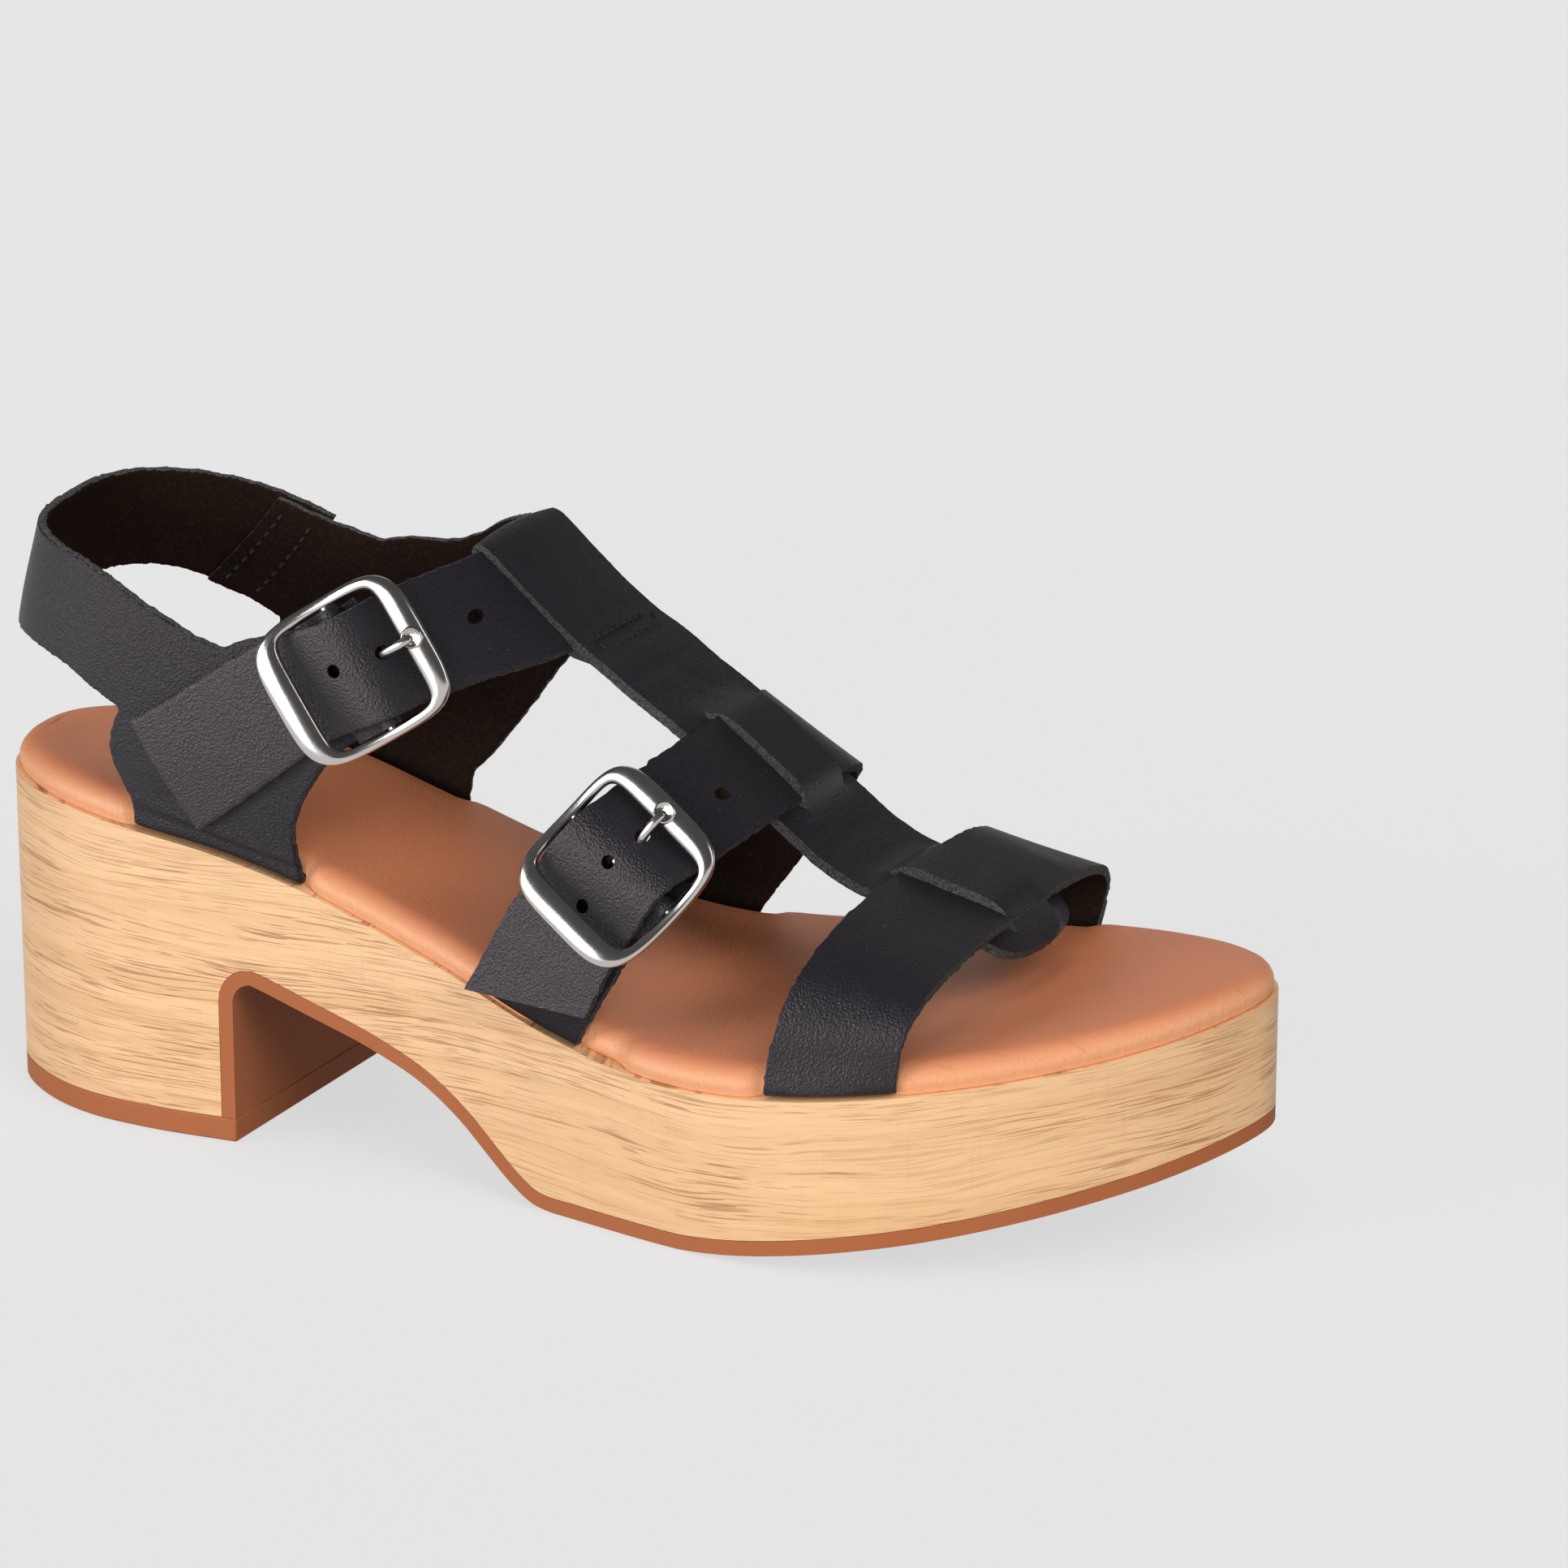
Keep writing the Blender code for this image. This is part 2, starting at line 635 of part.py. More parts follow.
def oval_grid(rows, steps, cells, foot_side=0):
    """Grid of a strap on the ankle oval from rows of its two edges, with its offset and half thickness."""
    edges = np.array([(turn_at(x0, z0, side), z0, turn_at(x1, z1, side), z1, offset, half)
                      for side, x0, z0, x1, z1, offset, half in rows])
    for k in (0, 2):
        edges[:, k] = np.degrees(np.unwrap(np.radians(edges[:, k])))
    dense = resample(edges, steps)
    places = np.linspace(0.0, 1.0, cells + 1)
    turns = dense[:, :1] + (dense[:, 2:3] - dense[:, :1]) * places
    heights = dense[:, 1:2] + (dense[:, 3:4] - dense[:, 1:2]) * places
    grid = np.array([[oval(t, z) for t, z in zip(ts, zs)] for ts, zs in zip(turns, heights)])
    offset, half = dense[:, 4], dense[:, 5]
    if foot_side:
        foot = foot_line(grid[0][:, 0], foot_side)[::-1]
        grid = np.concatenate([foot, grid])
        offset = np.concatenate([np.zeros(len(foot)), offset])
        half = np.concatenate([np.full(len(foot), HALF_LEATHER), half])
    return grid, offset, half


def outward(grid, centre):
    """True where the grid's normal points away from a centre inside the shoe."""
    normal = np.cross(np.gradient(grid, axis=0), np.gradient(grid, axis=1))
    return float((normal * (grid - np.asarray(centre))).sum()) > 0


class Seat:
    """Place of a buckle's bar on its strap: along the strap, across it and out from it."""

    def __init__(self, grid, back):
        line = grid[:, grid.shape[1] // 2]
        run = np.concatenate([[0.0], np.cumsum(np.linalg.norm(np.diff(line, axis=0), axis=1))])
        place = run[-1] - back
        at = [place - SEAT_REACH, place, place + back]
        pick = [np.interp(at, run, line[:, k]) for k in range(3)]
        low, self.centre, high = np.array(pick).T
        row = int(np.argmin(np.abs(run - place)))
        side = grid[row, 0] - grid[row, -1]
        self.along = (high - low) / np.linalg.norm(high - low)
        out = np.cross(self.along, side)
        if out[1] > 0:
            out = -out
        self.out = out / np.linalg.norm(out)
        self.across = np.cross(self.out, self.along)

    def points(self, rows):
        """World points from rows of distance along, across and out."""
        rows = np.asarray(rows, float)
        return self.centre + rows @ np.array([self.along, self.across, self.out])

    def swell(self, line):
        """Rise of the strap over the bar."""
        away = np.abs((line - self.centre) @ self.along)
        near = np.linalg.norm(line - self.centre, axis=1) < 3 * BAR_SWELL_REACH
        wave = 0.5 + 0.5 * np.cos(np.pi * np.minimum(away / BAR_SWELL_REACH, 1.0))
        return BAR_SWELL * np.where(near, wave, 0.0)


def tube(name, seat, path, radii, sides):
    """Round bar along a path of seat rows, closed at both ends, bent in the along and out plane."""
    path = np.asarray(path, float)
    tangent = np.gradient(path, axis=0)
    tangent /= np.linalg.norm(tangent, axis=1)[:, None]
    first = np.tile((0.0, 1.0, 0.0), (len(path), 1))
    if abs(tangent[0, 1]) > 0.5:
        first = np.tile((1.0, 0.0, 0.0), (len(path), 1))
    second = np.cross(tangent, first)
    angles = np.linspace(0.0, 2 * np.pi, sides, endpoint=False)
    rings = [p + r * (np.outer(np.cos(angles), a) + np.outer(np.sin(angles), b))
             for p, r, a, b in zip(path, radii, first, second)]
    last = (len(rings) - 1) * sides
    caps = [tuple(range(sides)), tuple(range(last + sides - 1, last - 1, -1))]
    return make(name, seat.points(np.vstack(rings)), caps + bridge_rings(sides, len(rings)))


def buckle_frame(name, seat, grow=0.0, steps=32, sides=8):
    """Bowed square frame with its centre bar."""
    points = []
    for step in np.linspace(0.0, 2 * np.pi, steps, endpoint=False):
        turn = step + CORNER_PULL * math.sin(4 * step)
        c, s = math.cos(turn), math.sin(turn)
        radius = (abs(c) ** FRAME_SQUARE + abs(s) ** FRAME_SQUARE) ** (-1.0 / FRAME_SQUARE)
        end_bar, length = (UPPER_BAR, FRAME_UP) if c > 0 else (LOWER_BAR, FRAME_DOWN)
        along, across = length * radius * c, FRAME_ACROSS * radius * s
        lift = BAR_HEIGHT + FRAME_BOW * (along / length) ** 2
        share = abs(c * radius) ** BAR_CHANGE
        share = share / (share + abs(s * radius) ** BAR_CHANGE)
        wide = SIDE_BAR[0] + (end_bar[0] - SIDE_BAR[0]) * share
        thick = SIDE_BAR[1] + (end_bar[1] - SIDE_BAR[1]) * share
        slope = np.array([abs(c) ** (FRAME_SQUARE - 1) * np.sign(c) / length,
                          abs(s) ** (FRAME_SQUARE - 1) * np.sign(s) / FRAME_ACROSS])
        slope /= np.linalg.norm(slope)
        for angle in np.linspace(0.0, 2 * np.pi, sides, endpoint=False):
            reach = (wide / 2 + grow) * math.cos(angle)
            points.append((along + slope[0] * reach, across + slope[1] * reach,
                           lift + (thick / 2 + grow) * math.sin(angle)))
    faces = bridge_rings(sides, steps)
    last = (steps - 1) * sides
    for i in range(sides):
        j = (i + 1) % sides
        faces.append((last + i, last + j, j, i))
    ring = make(name, seat.points(points), faces)
    ends = [(0.0, -FRAME_ACROSS, BAR_HEIGHT), (0.0, FRAME_ACROSS, BAR_HEIGHT)]
    bar = tube("bar", seat, ends, [BAR_RADIUS + grow] * 2, 10)
    return combine(ring, bar, "UNION")


def prong(name, seat, grow=0.0, sides=8):
    """Prong with an eye round the bar."""
    half = EYE_WIDTH / 2 + grow
    ends = [(0.0, -half, BAR_HEIGHT), (0.0, half, BAR_HEIGHT)]
    eye = tube(name, seat, ends, [EYE_RADIUS + grow] * 2, 14)
    dense = resample(PRONG_PATH, 2)
    path = np.column_stack([dense[:, 0], np.zeros(len(dense)), dense[:, 1]])
    radii = np.full(len(path), PRONG_RADIUS + grow)
    radii[-1] *= PRONG_TIP
    combine(eye, tube("shaft", seat, path, radii, sides), "UNION")
    if grow == 0.0:
        longer = [(0.0, -2 * half, BAR_HEIGHT), (0.0, 2 * half, BAR_HEIGHT)]
        combine(eye, tube("bore", seat, longer, [BAR_RADIUS + GAP] * 2, 14), "DIFFERENCE")
    return eye


def t_strap():
    """T-strap as one sheet, its centre bridges lifted clear of two slits over each strap."""
    dense = resample(T_STRAP, 3)
    rise = np.maximum(dense[:, 4], 0.0)
    cut = ((BRIDGE_HALF + SLIT / 2) / T_HALF, (BRIDGE_HALF - SLIT / 2) / T_HALF)
    places = np.array([-1.0, -cut[0], -cut[1], 0.0, cut[1], cut[0], 1.0])
    bridge = np.abs(places) <= cut[1] + 1e-6
    tangent = np.gradient(dense[:, :2], axis=0)
    tangent /= np.linalg.norm(tangent, axis=1)[:, None]
    grid = np.empty((len(dense), len(places), 3))
    for j, place in enumerate(places):
        lift = rise * bridge[j] - dense[:, 5] * place ** 2
        sideways = place * dense[:, 3]
        grid[:, j, 0] = dense[:, 0] - tangent[:, 1] * lift + T_SKEW * sideways
        grid[:, j, 1] = dense[:, 2] + sideways
        grid[:, j, 2] = dense[:, 1] + tangent[:, 0] * lift
    present = np.ones((len(dense) - 1, len(places) - 1), bool)
    lifted = rise > 0.05
    slit_rows = lifted[:-1] | lifted[1:]
    present[slit_rows, 1] = False
    present[slit_rows, 4] = False
    return sheet("t_strap", grid, -HALF_LEATHER, HALF_LEATHER, (T_SKEW, 1.0, 0.0), present)


def t_loop():
    """Fold of the T-strap over the ankle strap and its inner leg."""
    dense = resample(T_LOOP, 2)
    tangent = np.gradient(dense[:, :2], axis=0)
    tangent /= np.linalg.norm(tangent, axis=1)[:, None]
    places = np.linspace(-1.0, 1.0, 5)
    grid = np.empty((len(dense), len(places), 3))
    for j, place in enumerate(places):
        sideways = place * T_LOOP_HALF
        fall = dense[:, 2] * place ** 2
        grid[:, j, 0] = dense[:, 0] - T_LOOP_FALL[0] * fall + T_SKEW * sideways
        grid[:, j, 1] = T_LOOP_Y + sideways
        grid[:, j, 2] = dense[:, 1] - T_LOOP_FALL[1] * fall
    return sheet("t_loop", grid, -T_LOOP_HALF_LEATHER, T_LOOP_HALF_LEATHER, (T_SKEW, 1.0, 0.0))


def laid(name, grid, centre, offset=0.0, half=HALF_LEATHER, swell=0.0):
    """Leather on a grid, its outer face turned away from a centre inside the shoe."""
    if not outward(grid, centre):
        grid = grid[:, ::-1]
    return sheet(name, grid, offset - half, offset + half + swell)


def free_end(grid):
    """Row that carries the instep strap's free end straight down to its cut."""
    first = grid[0]
    levels = np.linspace(FREE_END_LEVEL[1], FREE_END_LEVEL[0], len(first))
    drop = first[:, 2] - levels
    return np.column_stack([first[:, 0] - INSTEP_REAR["slope"] * drop, first[:, 1], levels])[None]


def arch_straps():
    """Toe band, instep strap and its buckle tab, with the recess of each foot and the buckle's seat."""
    full = np.linspace(-1.0, 1.0, 25)
    fine = np.linspace(-1.0, 1.0, 37)
    short = np.linspace(-1.0, INSTEP_TAB_TOP, 11)
    inside_toe = (188.0, 0.0, 40.0)
    inside_instep = (130.0, 0.0, 40.0)
    band_grid = arch_grid(TOE_REAR, TOE_FRONT, full, 3, True, True)
    band = laid("toe_band", band_grid, inside_toe)
    tab_grid = arch_grid(INSTEP_REAR, INSTEP_FRONT, short, 4, True, False)
    seat = Seat(tab_grid, TAB_PAST_BAR)
    tab = laid("instep_tab", tab_grid, inside_instep)

    grid = arch_grid(INSTEP_REAR, INSTEP_FRONT, fine, 4, False, True)
    lift = np.interp(fine, INSTEP_LAP_FADE, (LAP, 0.0))
    offset = np.concatenate([[LAP], lift, np.zeros(len(FOOT))])
    grid = np.concatenate([free_end(grid), grid])
    strap = laid("instep_strap", grid, inside_instep, offset, HALF_LEATHER, seat.swell(grid[:, 2]))
    ends = ((band_grid[0], -1), (band_grid[-1], 1), (tab_grid[0], -1), (grid[-1], 1))
    return [band, tab, strap], [recess(row, side) for row, side in ends], seat


def ankle_straps():
    """Ankle strap, quarters and heel strap, with the recess of each foot and the buckle's seat."""
    inside = (60.0, 0.0, 85.0)
    quarter_grid, offset, half = oval_grid(OUTER_QUARTER, 3, 4, -1)
    seat = Seat(quarter_grid, TAB_PAST_BAR)
    quarter = laid("outer_quarter", quarter_grid, inside, offset, half)
    feet = [recess(quarter_grid[0], -1)]
    grid, offset, half = oval_grid(ANKLE_STRAP, 3, 4, 1)
    feet.append(recess(grid[0], 1))
    strap = laid("ankle_strap", grid, inside, offset, half, seat.swell(grid[:, 2]))
    grid, offset, half = oval_grid(HEEL_STRAP, 5, 3)
    heel = laid("heel_strap", grid, inside, offset, half)
    grid, offset, half = oval_grid(INNER_TAIL, 3, 3)
    tail = laid("inner_tail", grid, inside, offset, half)
    return [quarter, strap, heel, tail], feet, seat


def main():
    for obj in list(bpy.data.objects):
        bpy.data.objects.remove(obj)
    sole_parts()
    arches, arch_feet, instep_seat = arch_straps()
    collar, collar_feet, ankle_seat = ankle_straps()
    insole_part(arch_feet + collar_feet)

    upper = t_strap()
    upper.name = "upper"
    for piece in [t_loop()] + collar + arches:
        combine(upper, piece, "UNION")
    for name, seat in (("ankle", ankle_seat), ("instep", instep_seat)):
        combine(upper, buckle_frame("room", seat, CUT_ROOM), "DIFFERENCE")
        combine(upper, prong("room", seat, CUT_ROOM), "DIFFERENCE")
        finish(buckle_frame(name + "_buckle", seat), NICKEL, 50.0)
        finish(prong(name + "_prong", seat), NICKEL, 50.0)
    finish(upper, BLACK_LEATHER)


main()
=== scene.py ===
# %% [markdown]
# # Dressing a heeled sandal
# The sandal comes as a plain solid model: a wood sole block, sheet rubber under it, a padded insole, black
# straps and two buckles. This lesson gives each of them the surface of the real one. It starts by loading
# the solid model as a fixed frame, so that every new piece can be built in the same place and in the same
# millimetres.

# %% The frame
import math
import bpy
import bmesh
import numpy as np
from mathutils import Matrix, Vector


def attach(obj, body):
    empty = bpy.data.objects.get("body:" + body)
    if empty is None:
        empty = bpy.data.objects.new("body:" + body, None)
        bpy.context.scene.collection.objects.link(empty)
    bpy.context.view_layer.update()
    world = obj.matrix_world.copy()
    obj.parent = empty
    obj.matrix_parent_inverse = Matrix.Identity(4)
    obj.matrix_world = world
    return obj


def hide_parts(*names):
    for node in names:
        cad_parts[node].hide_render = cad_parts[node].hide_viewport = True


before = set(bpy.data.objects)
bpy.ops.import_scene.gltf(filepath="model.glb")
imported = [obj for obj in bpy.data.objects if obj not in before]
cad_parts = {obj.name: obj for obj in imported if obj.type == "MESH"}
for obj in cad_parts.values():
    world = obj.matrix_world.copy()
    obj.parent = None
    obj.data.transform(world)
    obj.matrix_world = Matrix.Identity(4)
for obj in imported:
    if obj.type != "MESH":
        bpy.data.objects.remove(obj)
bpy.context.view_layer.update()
scene = bpy.context.scene
MM = 0.001
MIDDLE = np.array([123.0, -2.4, 0.0])


def place(points):
    """Points in shoe millimetres, x from the heel's back, turned into metres of the frame."""
    return (np.asarray(points, float) - MIDDLE) * MM


print("solid nodes:", sorted(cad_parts))

# %% [markdown]
# ## The camera
# The photograph was taken with a long lens from a little above, on the outer front side. A long lens keeps
# the heel and the toe at nearly the same scale, so the lens is set from the measured focal length and not
# by eye. The camera is turned with two angles round the shoe, because they can be read again from any other
# view.

# %% Camera
AZIMUTH, ELEVATION = 21.859, 18.525
DISTANCE = 1.29495
AIM = Vector((-0.006171, 0.094422, 0.040))
FOCAL_PIXELS, PHOTO_PIXELS = 8110.3, 1932.0
SENSOR, FAR_CLIP = 36.0, 50.0


def towards(azimuth, elevation):
    """Direction from the shoe to a place seen under two angles in degrees."""
    a, e = math.radians(azimuth), math.radians(elevation)
    return Vector((math.sin(a) * math.cos(e), -math.cos(a) * math.cos(e), math.sin(e)))


back = towards(AZIMUTH, ELEVATION)
camera_data = bpy.data.cameras.new("camera")
camera_data.sensor_width = SENSOR
camera_data.lens = SENSOR * (FOCAL_PIXELS / PHOTO_PIXELS)
camera_data.clip_end = FAR_CLIP
camera = bpy.data.objects.new("camera", camera_data)
camera.location = AIM + back * DISTANCE
camera.rotation_euler = (-back).to_track_quat("-Z", "Y").to_euler()
scene.collection.objects.link(camera)
scene.camera = camera
print("camera at", [round(v, 3) for v in camera.location], "lens", round(camera_data.lens, 1), "mm")

# %% [markdown]
# ## Shader maths as sentences
# A material is a web of nodes, and a web is hard to read in a script. Here a small class stands for one
# wire of it: adding, multiplying or comparing wires with Python's own signs adds the Math nodes. Colours
# and vectors would turn grey in a Math node, so they go through Mix and Vector Math, and every other node
# comes from one method.

# %% Wires and looks
class Wire:
    """One value on its way through a material."""

    def __init__(self, look, socket):
        self.look = look
        self.socket = socket

    def maths(self, operation, first, second):
        return self.look.add("ShaderNodeMath", {"operation": operation}, {0: first, 1: second})

    def __add__(self, other):
        return self.maths("ADD", self, other)

    def __radd__(self, other):
        return self.maths("ADD", other, self)

    def __sub__(self, other):
        return self.maths("SUBTRACT", self, other)

    def __rsub__(self, other):
        return self.maths("SUBTRACT", other, self)

    def __mul__(self, other):
        return self.maths("MULTIPLY", self, other)

    def __rmul__(self, other):
        return self.maths("MULTIPLY", other, self)


class Look:
    """A material and the hand that adds nodes to it."""

    def __init__(self, name, roughness, **constants):
        self.material = bpy.data.materials.new(name)
        self.material.use_nodes = True
        self.tree = self.material.node_tree
        self.shader = self.tree.nodes["Principled BSDF"]
        self.set("Roughness", roughness)
        for key, value in constants.items():
            self.set(key.replace("_", " "), value)

    def join(self, socket, value):
        if isinstance(value, Wire):
            self.tree.links.new(value.socket, socket)
        else:
            socket.default_value = value

    def add(self, kind, settings=None, values=None, out=0):
        """A node of any kind: its settings first, then what its sockets hold or are linked to."""
        node = self.tree.nodes.new(kind)
        for key, value in (settings or {}).items():
            setattr(node, key, value)
        for key, value in (values or {}).items():
            self.join(node.inputs[key], value)
        return Wire(self, node.outputs[out])

    def set(self, socket, value):
        self.join(self.shader.inputs[socket], value)

    def spot(self):
        """Place on the object in millimetres."""
        coords = self.add("ShaderNodeTexCoord", out="Object")
        return self.add("ShaderNodeVectorMath", {"operation": "SCALE"}, {0: coords, "Scale": 1000.0})

    def stretch(self, vector, scale):
        return self.add("ShaderNodeVectorMath", {"operation": "MULTIPLY"}, {0: vector, 1: scale})

    def noise(self, vector, scale, detail=2.0, roughness=0.5):
        return self.add("ShaderNodeTexNoise", None,
                        {"Vector": vector, "Scale": scale, "Detail": detail, "Roughness": roughness})

    def cells(self, vector, scale, feature="F1"):
        return self.add("ShaderNodeTexVoronoi", {"feature": feature}, {"Vector": vector, "Scale": scale})

    def between(self, value, low, high):
        """0 below low, 1 above high, smooth between them."""
        return self.add("ShaderNodeMapRange", {"interpolation_type": "SMOOTHSTEP"},
                        {"Value": value, "From Min": low, "From Max": high})

    def mix(self, first, second, share):
        return self.add("ShaderNodeMix", {"data_type": "RGBA"}, {0: share, 6: first, 7: second}, out=2)

    def bump(self, height, depth_mm, strength=1.0):
        normal = self.add("ShaderNodeBump", None,
                          {"Strength": strength, "Distance": depth_mm * MM, "Height": height})
        self.set("Normal", normal)


def tone(red, green, blue):
    return (red, green, blue, 1.0)


print("wires and looks ready")

# %% [markdown]
# ## Black strap leather
# The grain side of the straps is black with a trace of blue. It isn't shiny, but light from the side lies
# on it as a wide grey sheen in which a fine pebble grain shows. One bump of small cells gives the grain, a
# softer and slower one the waves of the hide, and the roughness wanders a little with the same noise. The
# outer quarter is duller, and the tab under the instep buckle duller still, so that it stays dark below the
# strap's cut end: both take the same lines with less sheen.

# %% Grain side
def grain_side(name, sheen):
    # The pink specular tint is painted light: it gives the sheen a warm lamp colour that the white lamps do
    # not have.
    look = Look(name, 0.4, Specular_IOR_Level=sheen, Specular_Tint=tone(1.0, 0.88, 0.93))
    spot = look.spot()
    pebble = look.cells(spot, 2.0)
    fine = look.noise(spot, 2.4, 3.0, 0.6)
    hide = look.noise(spot, 0.05, 3.0, 0.55)
    dust = look.between(look.noise(spot, 1.1, 1.0), 0.76, 0.80)
    shade = look.mix(tone(0.0085, 0.0078, 0.0105), tone(0.0135, 0.0125, 0.0160), hide)
    look.set("Base Color", look.mix(shade, tone(0.16, 0.16, 0.16), dust * 0.25))
    look.set("Roughness", 0.30 + 0.12 * fine + 0.05 * hide)
    look.bump(pebble * 0.6 + fine * 1.1 + hide * 0.8, 0.32, 0.7)
    return look.material


strap_grain = grain_side("strap_grain", 0.45)
quarter_grain = grain_side("quarter_grain", 0.26)
tab_grain = grain_side("tab_grain", 0.10)
print("made", strap_grain.name, quarter_grain.name, tab_grain.name)

# %% [markdown]
# ## Flesh side and cut edge
# Turned over, the same leather is matt and a shade browner, with a nap of short fibres. Where the knife
# went through, the edge is raw: dark grey, dry and fuzzy. Both are made of fine noise, which is cheap and
# has no direction.

# %% Flesh side and raw edge
def flesh_side():
    look = Look("strap_flesh", 0.9, Specular_IOR_Level=0.03)
    spot = look.spot()
    nap = look.noise(spot, 1.4, 4.0, 0.7)
    patch = look.noise(spot, 0.09, 3.0)
    shade = look.mix(tone(0.009, 0.0055, 0.0040), tone(0.017, 0.0100, 0.0070), patch)
    look.set("Base Color", look.mix(shade, tone(0.032, 0.0195, 0.0135), look.between(nap, 0.45, 0.8)))
    look.set("Roughness", 0.82 + 0.15 * nap)
    look.bump(nap + patch * 0.6, 0.22, 0.7)
    return look.material


def raw_edge():
    look = Look("strap_cut_edge", 0.95, Specular_IOR_Level=0.15)
    spot = look.spot()
    fibre = look.noise(spot, 2.4, 4.0, 0.75)
    shade = look.mix(tone(0.022, 0.022, 0.021), tone(0.120, 0.124, 0.118), look.between(fibre, 0.35, 0.70))
    look.set("Base Color", shade)
    look.bump(fibre, 0.3, 0.9)
    return look.material


strap_flesh = flesh_side()
strap_edge = raw_edge()
LEATHER = [strap_grain, strap_flesh, strap_edge]
GRAIN, FLESH, EDGE = range(3)
print("made", strap_flesh.name, strap_edge.name)

# %% [markdown]
# ## Curves through short tables
# All shapes of the shoe run through a few measured rows. A Hermite curve passes through every row and
# leaves none of them with a kink, and it needs no more than the row before and after, so a changed size
# moves only its own stretch.

# %% Smooth curves
def hermite(knots, values, at):
    """Smooth curve through rows of values at rising knots, read at the places in at."""
    knots = np.asarray(knots, float)
    values = np.asarray(values, float)
    at = np.asarray(at, float)
    step = np.diff(knots)[:, None]
    slope = np.diff(values, axis=0) / step
    inner = (slope[:-1] * step[1:] + slope[1:] * step[:-1]) / (step[:-1] + step[1:])
    tangent = np.vstack([slope[:1], inner, slope[-1:]])
    i = np.clip(np.searchsorted(knots, at, side="right") - 1, 0, len(knots) - 2)
    h = step[i]
    u = (at - knots[i])[:, None] / h
    rise = 3 * u**2 - 2 * u**3
    return (values[i] * (1 - rise) + values[i + 1] * rise
            + h * tangent[i] * (u**3 - 2 * u**2 + u) + h * tangent[i + 1] * (u**3 - u**2))


def unit(vectors):
    """Rows of vectors brought to length 1."""
    return vectors / np.linalg.norm(vectors, axis=-1)[..., None]


def run_along(line):
    """Distance along a line of points, from 0 at its start."""
    return np.concatenate([[0.0], np.cumsum(np.linalg.norm(np.diff(line, axis=0), axis=1))])


def circle(count):
    """Angles once round."""
    return np.linspace(0.0, 2 * np.pi, count, endpoint=False)


def column(rows, x, place_in_row=1):
    """A table's column read smoothly at x, which is its first column."""
    rows = np.asarray(rows, float)
    return hermite(rows[:, 0], rows[:, place_in_row:place_in_row + 1], np.atleast_1d(x))[:, 0]


def resample(rows, steps):
    """Rows of numbers made smooth and dense."""
    rows = np.asarray(rows, float)
    gap = np.linalg.norm(np.diff(rows, axis=0), axis=1) ** 0.5
    knots = np.concatenate([[0.0], np.cumsum(gap)])
    spans = zip(knots, knots[1:])
    at = np.concatenate([np.linspace(a, b, steps, endpoint=False) for a, b in spans])
    return hermite(knots, rows, np.append(at, knots[-1]))


def refine(grid, step):
    """Grid of points made dense along its rows and columns, with cells of about step millimetres."""
    for axis in (0, 1):
        grid = np.swapaxes(grid, 0, axis)
        gap = np.linalg.norm(np.diff(grid[..., :3], axis=0), axis=2).mean(axis=1)
        knots = np.concatenate([[0.0], np.cumsum(gap)])
        count = max(3, int(round(knots[-1] / step)) + 1)
        dense = hermite(knots, grid.reshape(len(grid), -1), np.linspace(0.0, knots[-1], count))
        grid = np.swapaxes(dense.reshape((count,) + grid.shape[1:]), 0, axis)
    return grid


print("curve through three rows:", column([(0, 0), (1, 2), (3, 1)], [0.5, 2.0]).round(3))

# %% [markdown]
# ## The sole's outline and its lines
# The outline from above, the top of the wood and the underside seen from the side are three tables of
# measured rows. Everything on the sole is cut from them: block, rubber and insole share one outline, as on
# the real shoe, where they are sanded flush together.

# %% Sole tables
LENGTH = 246.0
RUBBER, HEEL_PIECE, GAP = 2.8, 4.6, 0.3
OUTLINE = [  # from the heel's back, outer edge, inner edge
    (2.5, -11.0, 11.0), (12.0, -20.7, 20.6), (24.0, -26.7, 26.8), (38.0, -29.1, 29.4), (56.0, -29.5, 29.6),
    (74.0, -29.8, 28.1), (98.0, -32.7, 28.0), (123.0, -38.9, 32.0), (148.0, -45.6, 38.9),
    (160.0, -47.7, 41.5), (172.0, -48.2, 43.1), (184.0, -46.7, 43.4), (197.0, -43.0, 42.0),
    (209.0, -37.8, 38.9), (221.0, -30.4, 33.9), (234.0, -19.2, 25.2), (243.0, -6.0, 14.4),
]
HEEL_END, TOE_END = (0.0, 0.0), (LENGTH, 4.6)
TOP_LINE = [  # from the heel's back, height of the wood
    (-6.0, 62.8), (12.0, 61.2), (25.0, 60.0), (37.0, 58.5), (49.0, 56.8), (61.0, 54.2), (74.0, 50.4),
    (98.0, 42.3), (123.0, 34.2), (136.0, 31.5), (148.0, 30.4), (160.0, 30.6), (172.0, 31.6), (197.0, 34.5),
    (221.0, 38.2), (234.0, 40.7), (252.0, 45.0),
]
UNDER_LINE = [  # from the heel's back, height of the rubber's underside
    (60.5, 31.4), (70.0, 27.9), (86.0, 22.6), (96.5, 18.0), (105.0, 12.2), (110.5, 7.4), (115.5, 3.3),
    (119.5, 0.9), (124.0, 0.0), (138.0, 0.0), (152.0, 0.0), (161.0, 0.8), (172.0, 2.4), (184.0, 4.4),
    (197.0, 6.8), (209.0, 9.4), (221.0, 12.2), (234.0, 15.5), (252.0, 20.6),
]
BREAST_X, BREAST_TOP, BREAST_CORNER, BREAST_SKEW = 56.0, 31.6, 4.0, 0.09
BREAST_STOPS = (40.0, 41.0, 70.0, 124.0)


def wood_top(x):
    return column(TOP_LINE, x)


def outline_edge(x, side):
    """Outer (-1) or inner (1) edge of the sole at x."""
    return column(OUTLINE, x, 1 if side < 0 else 2)


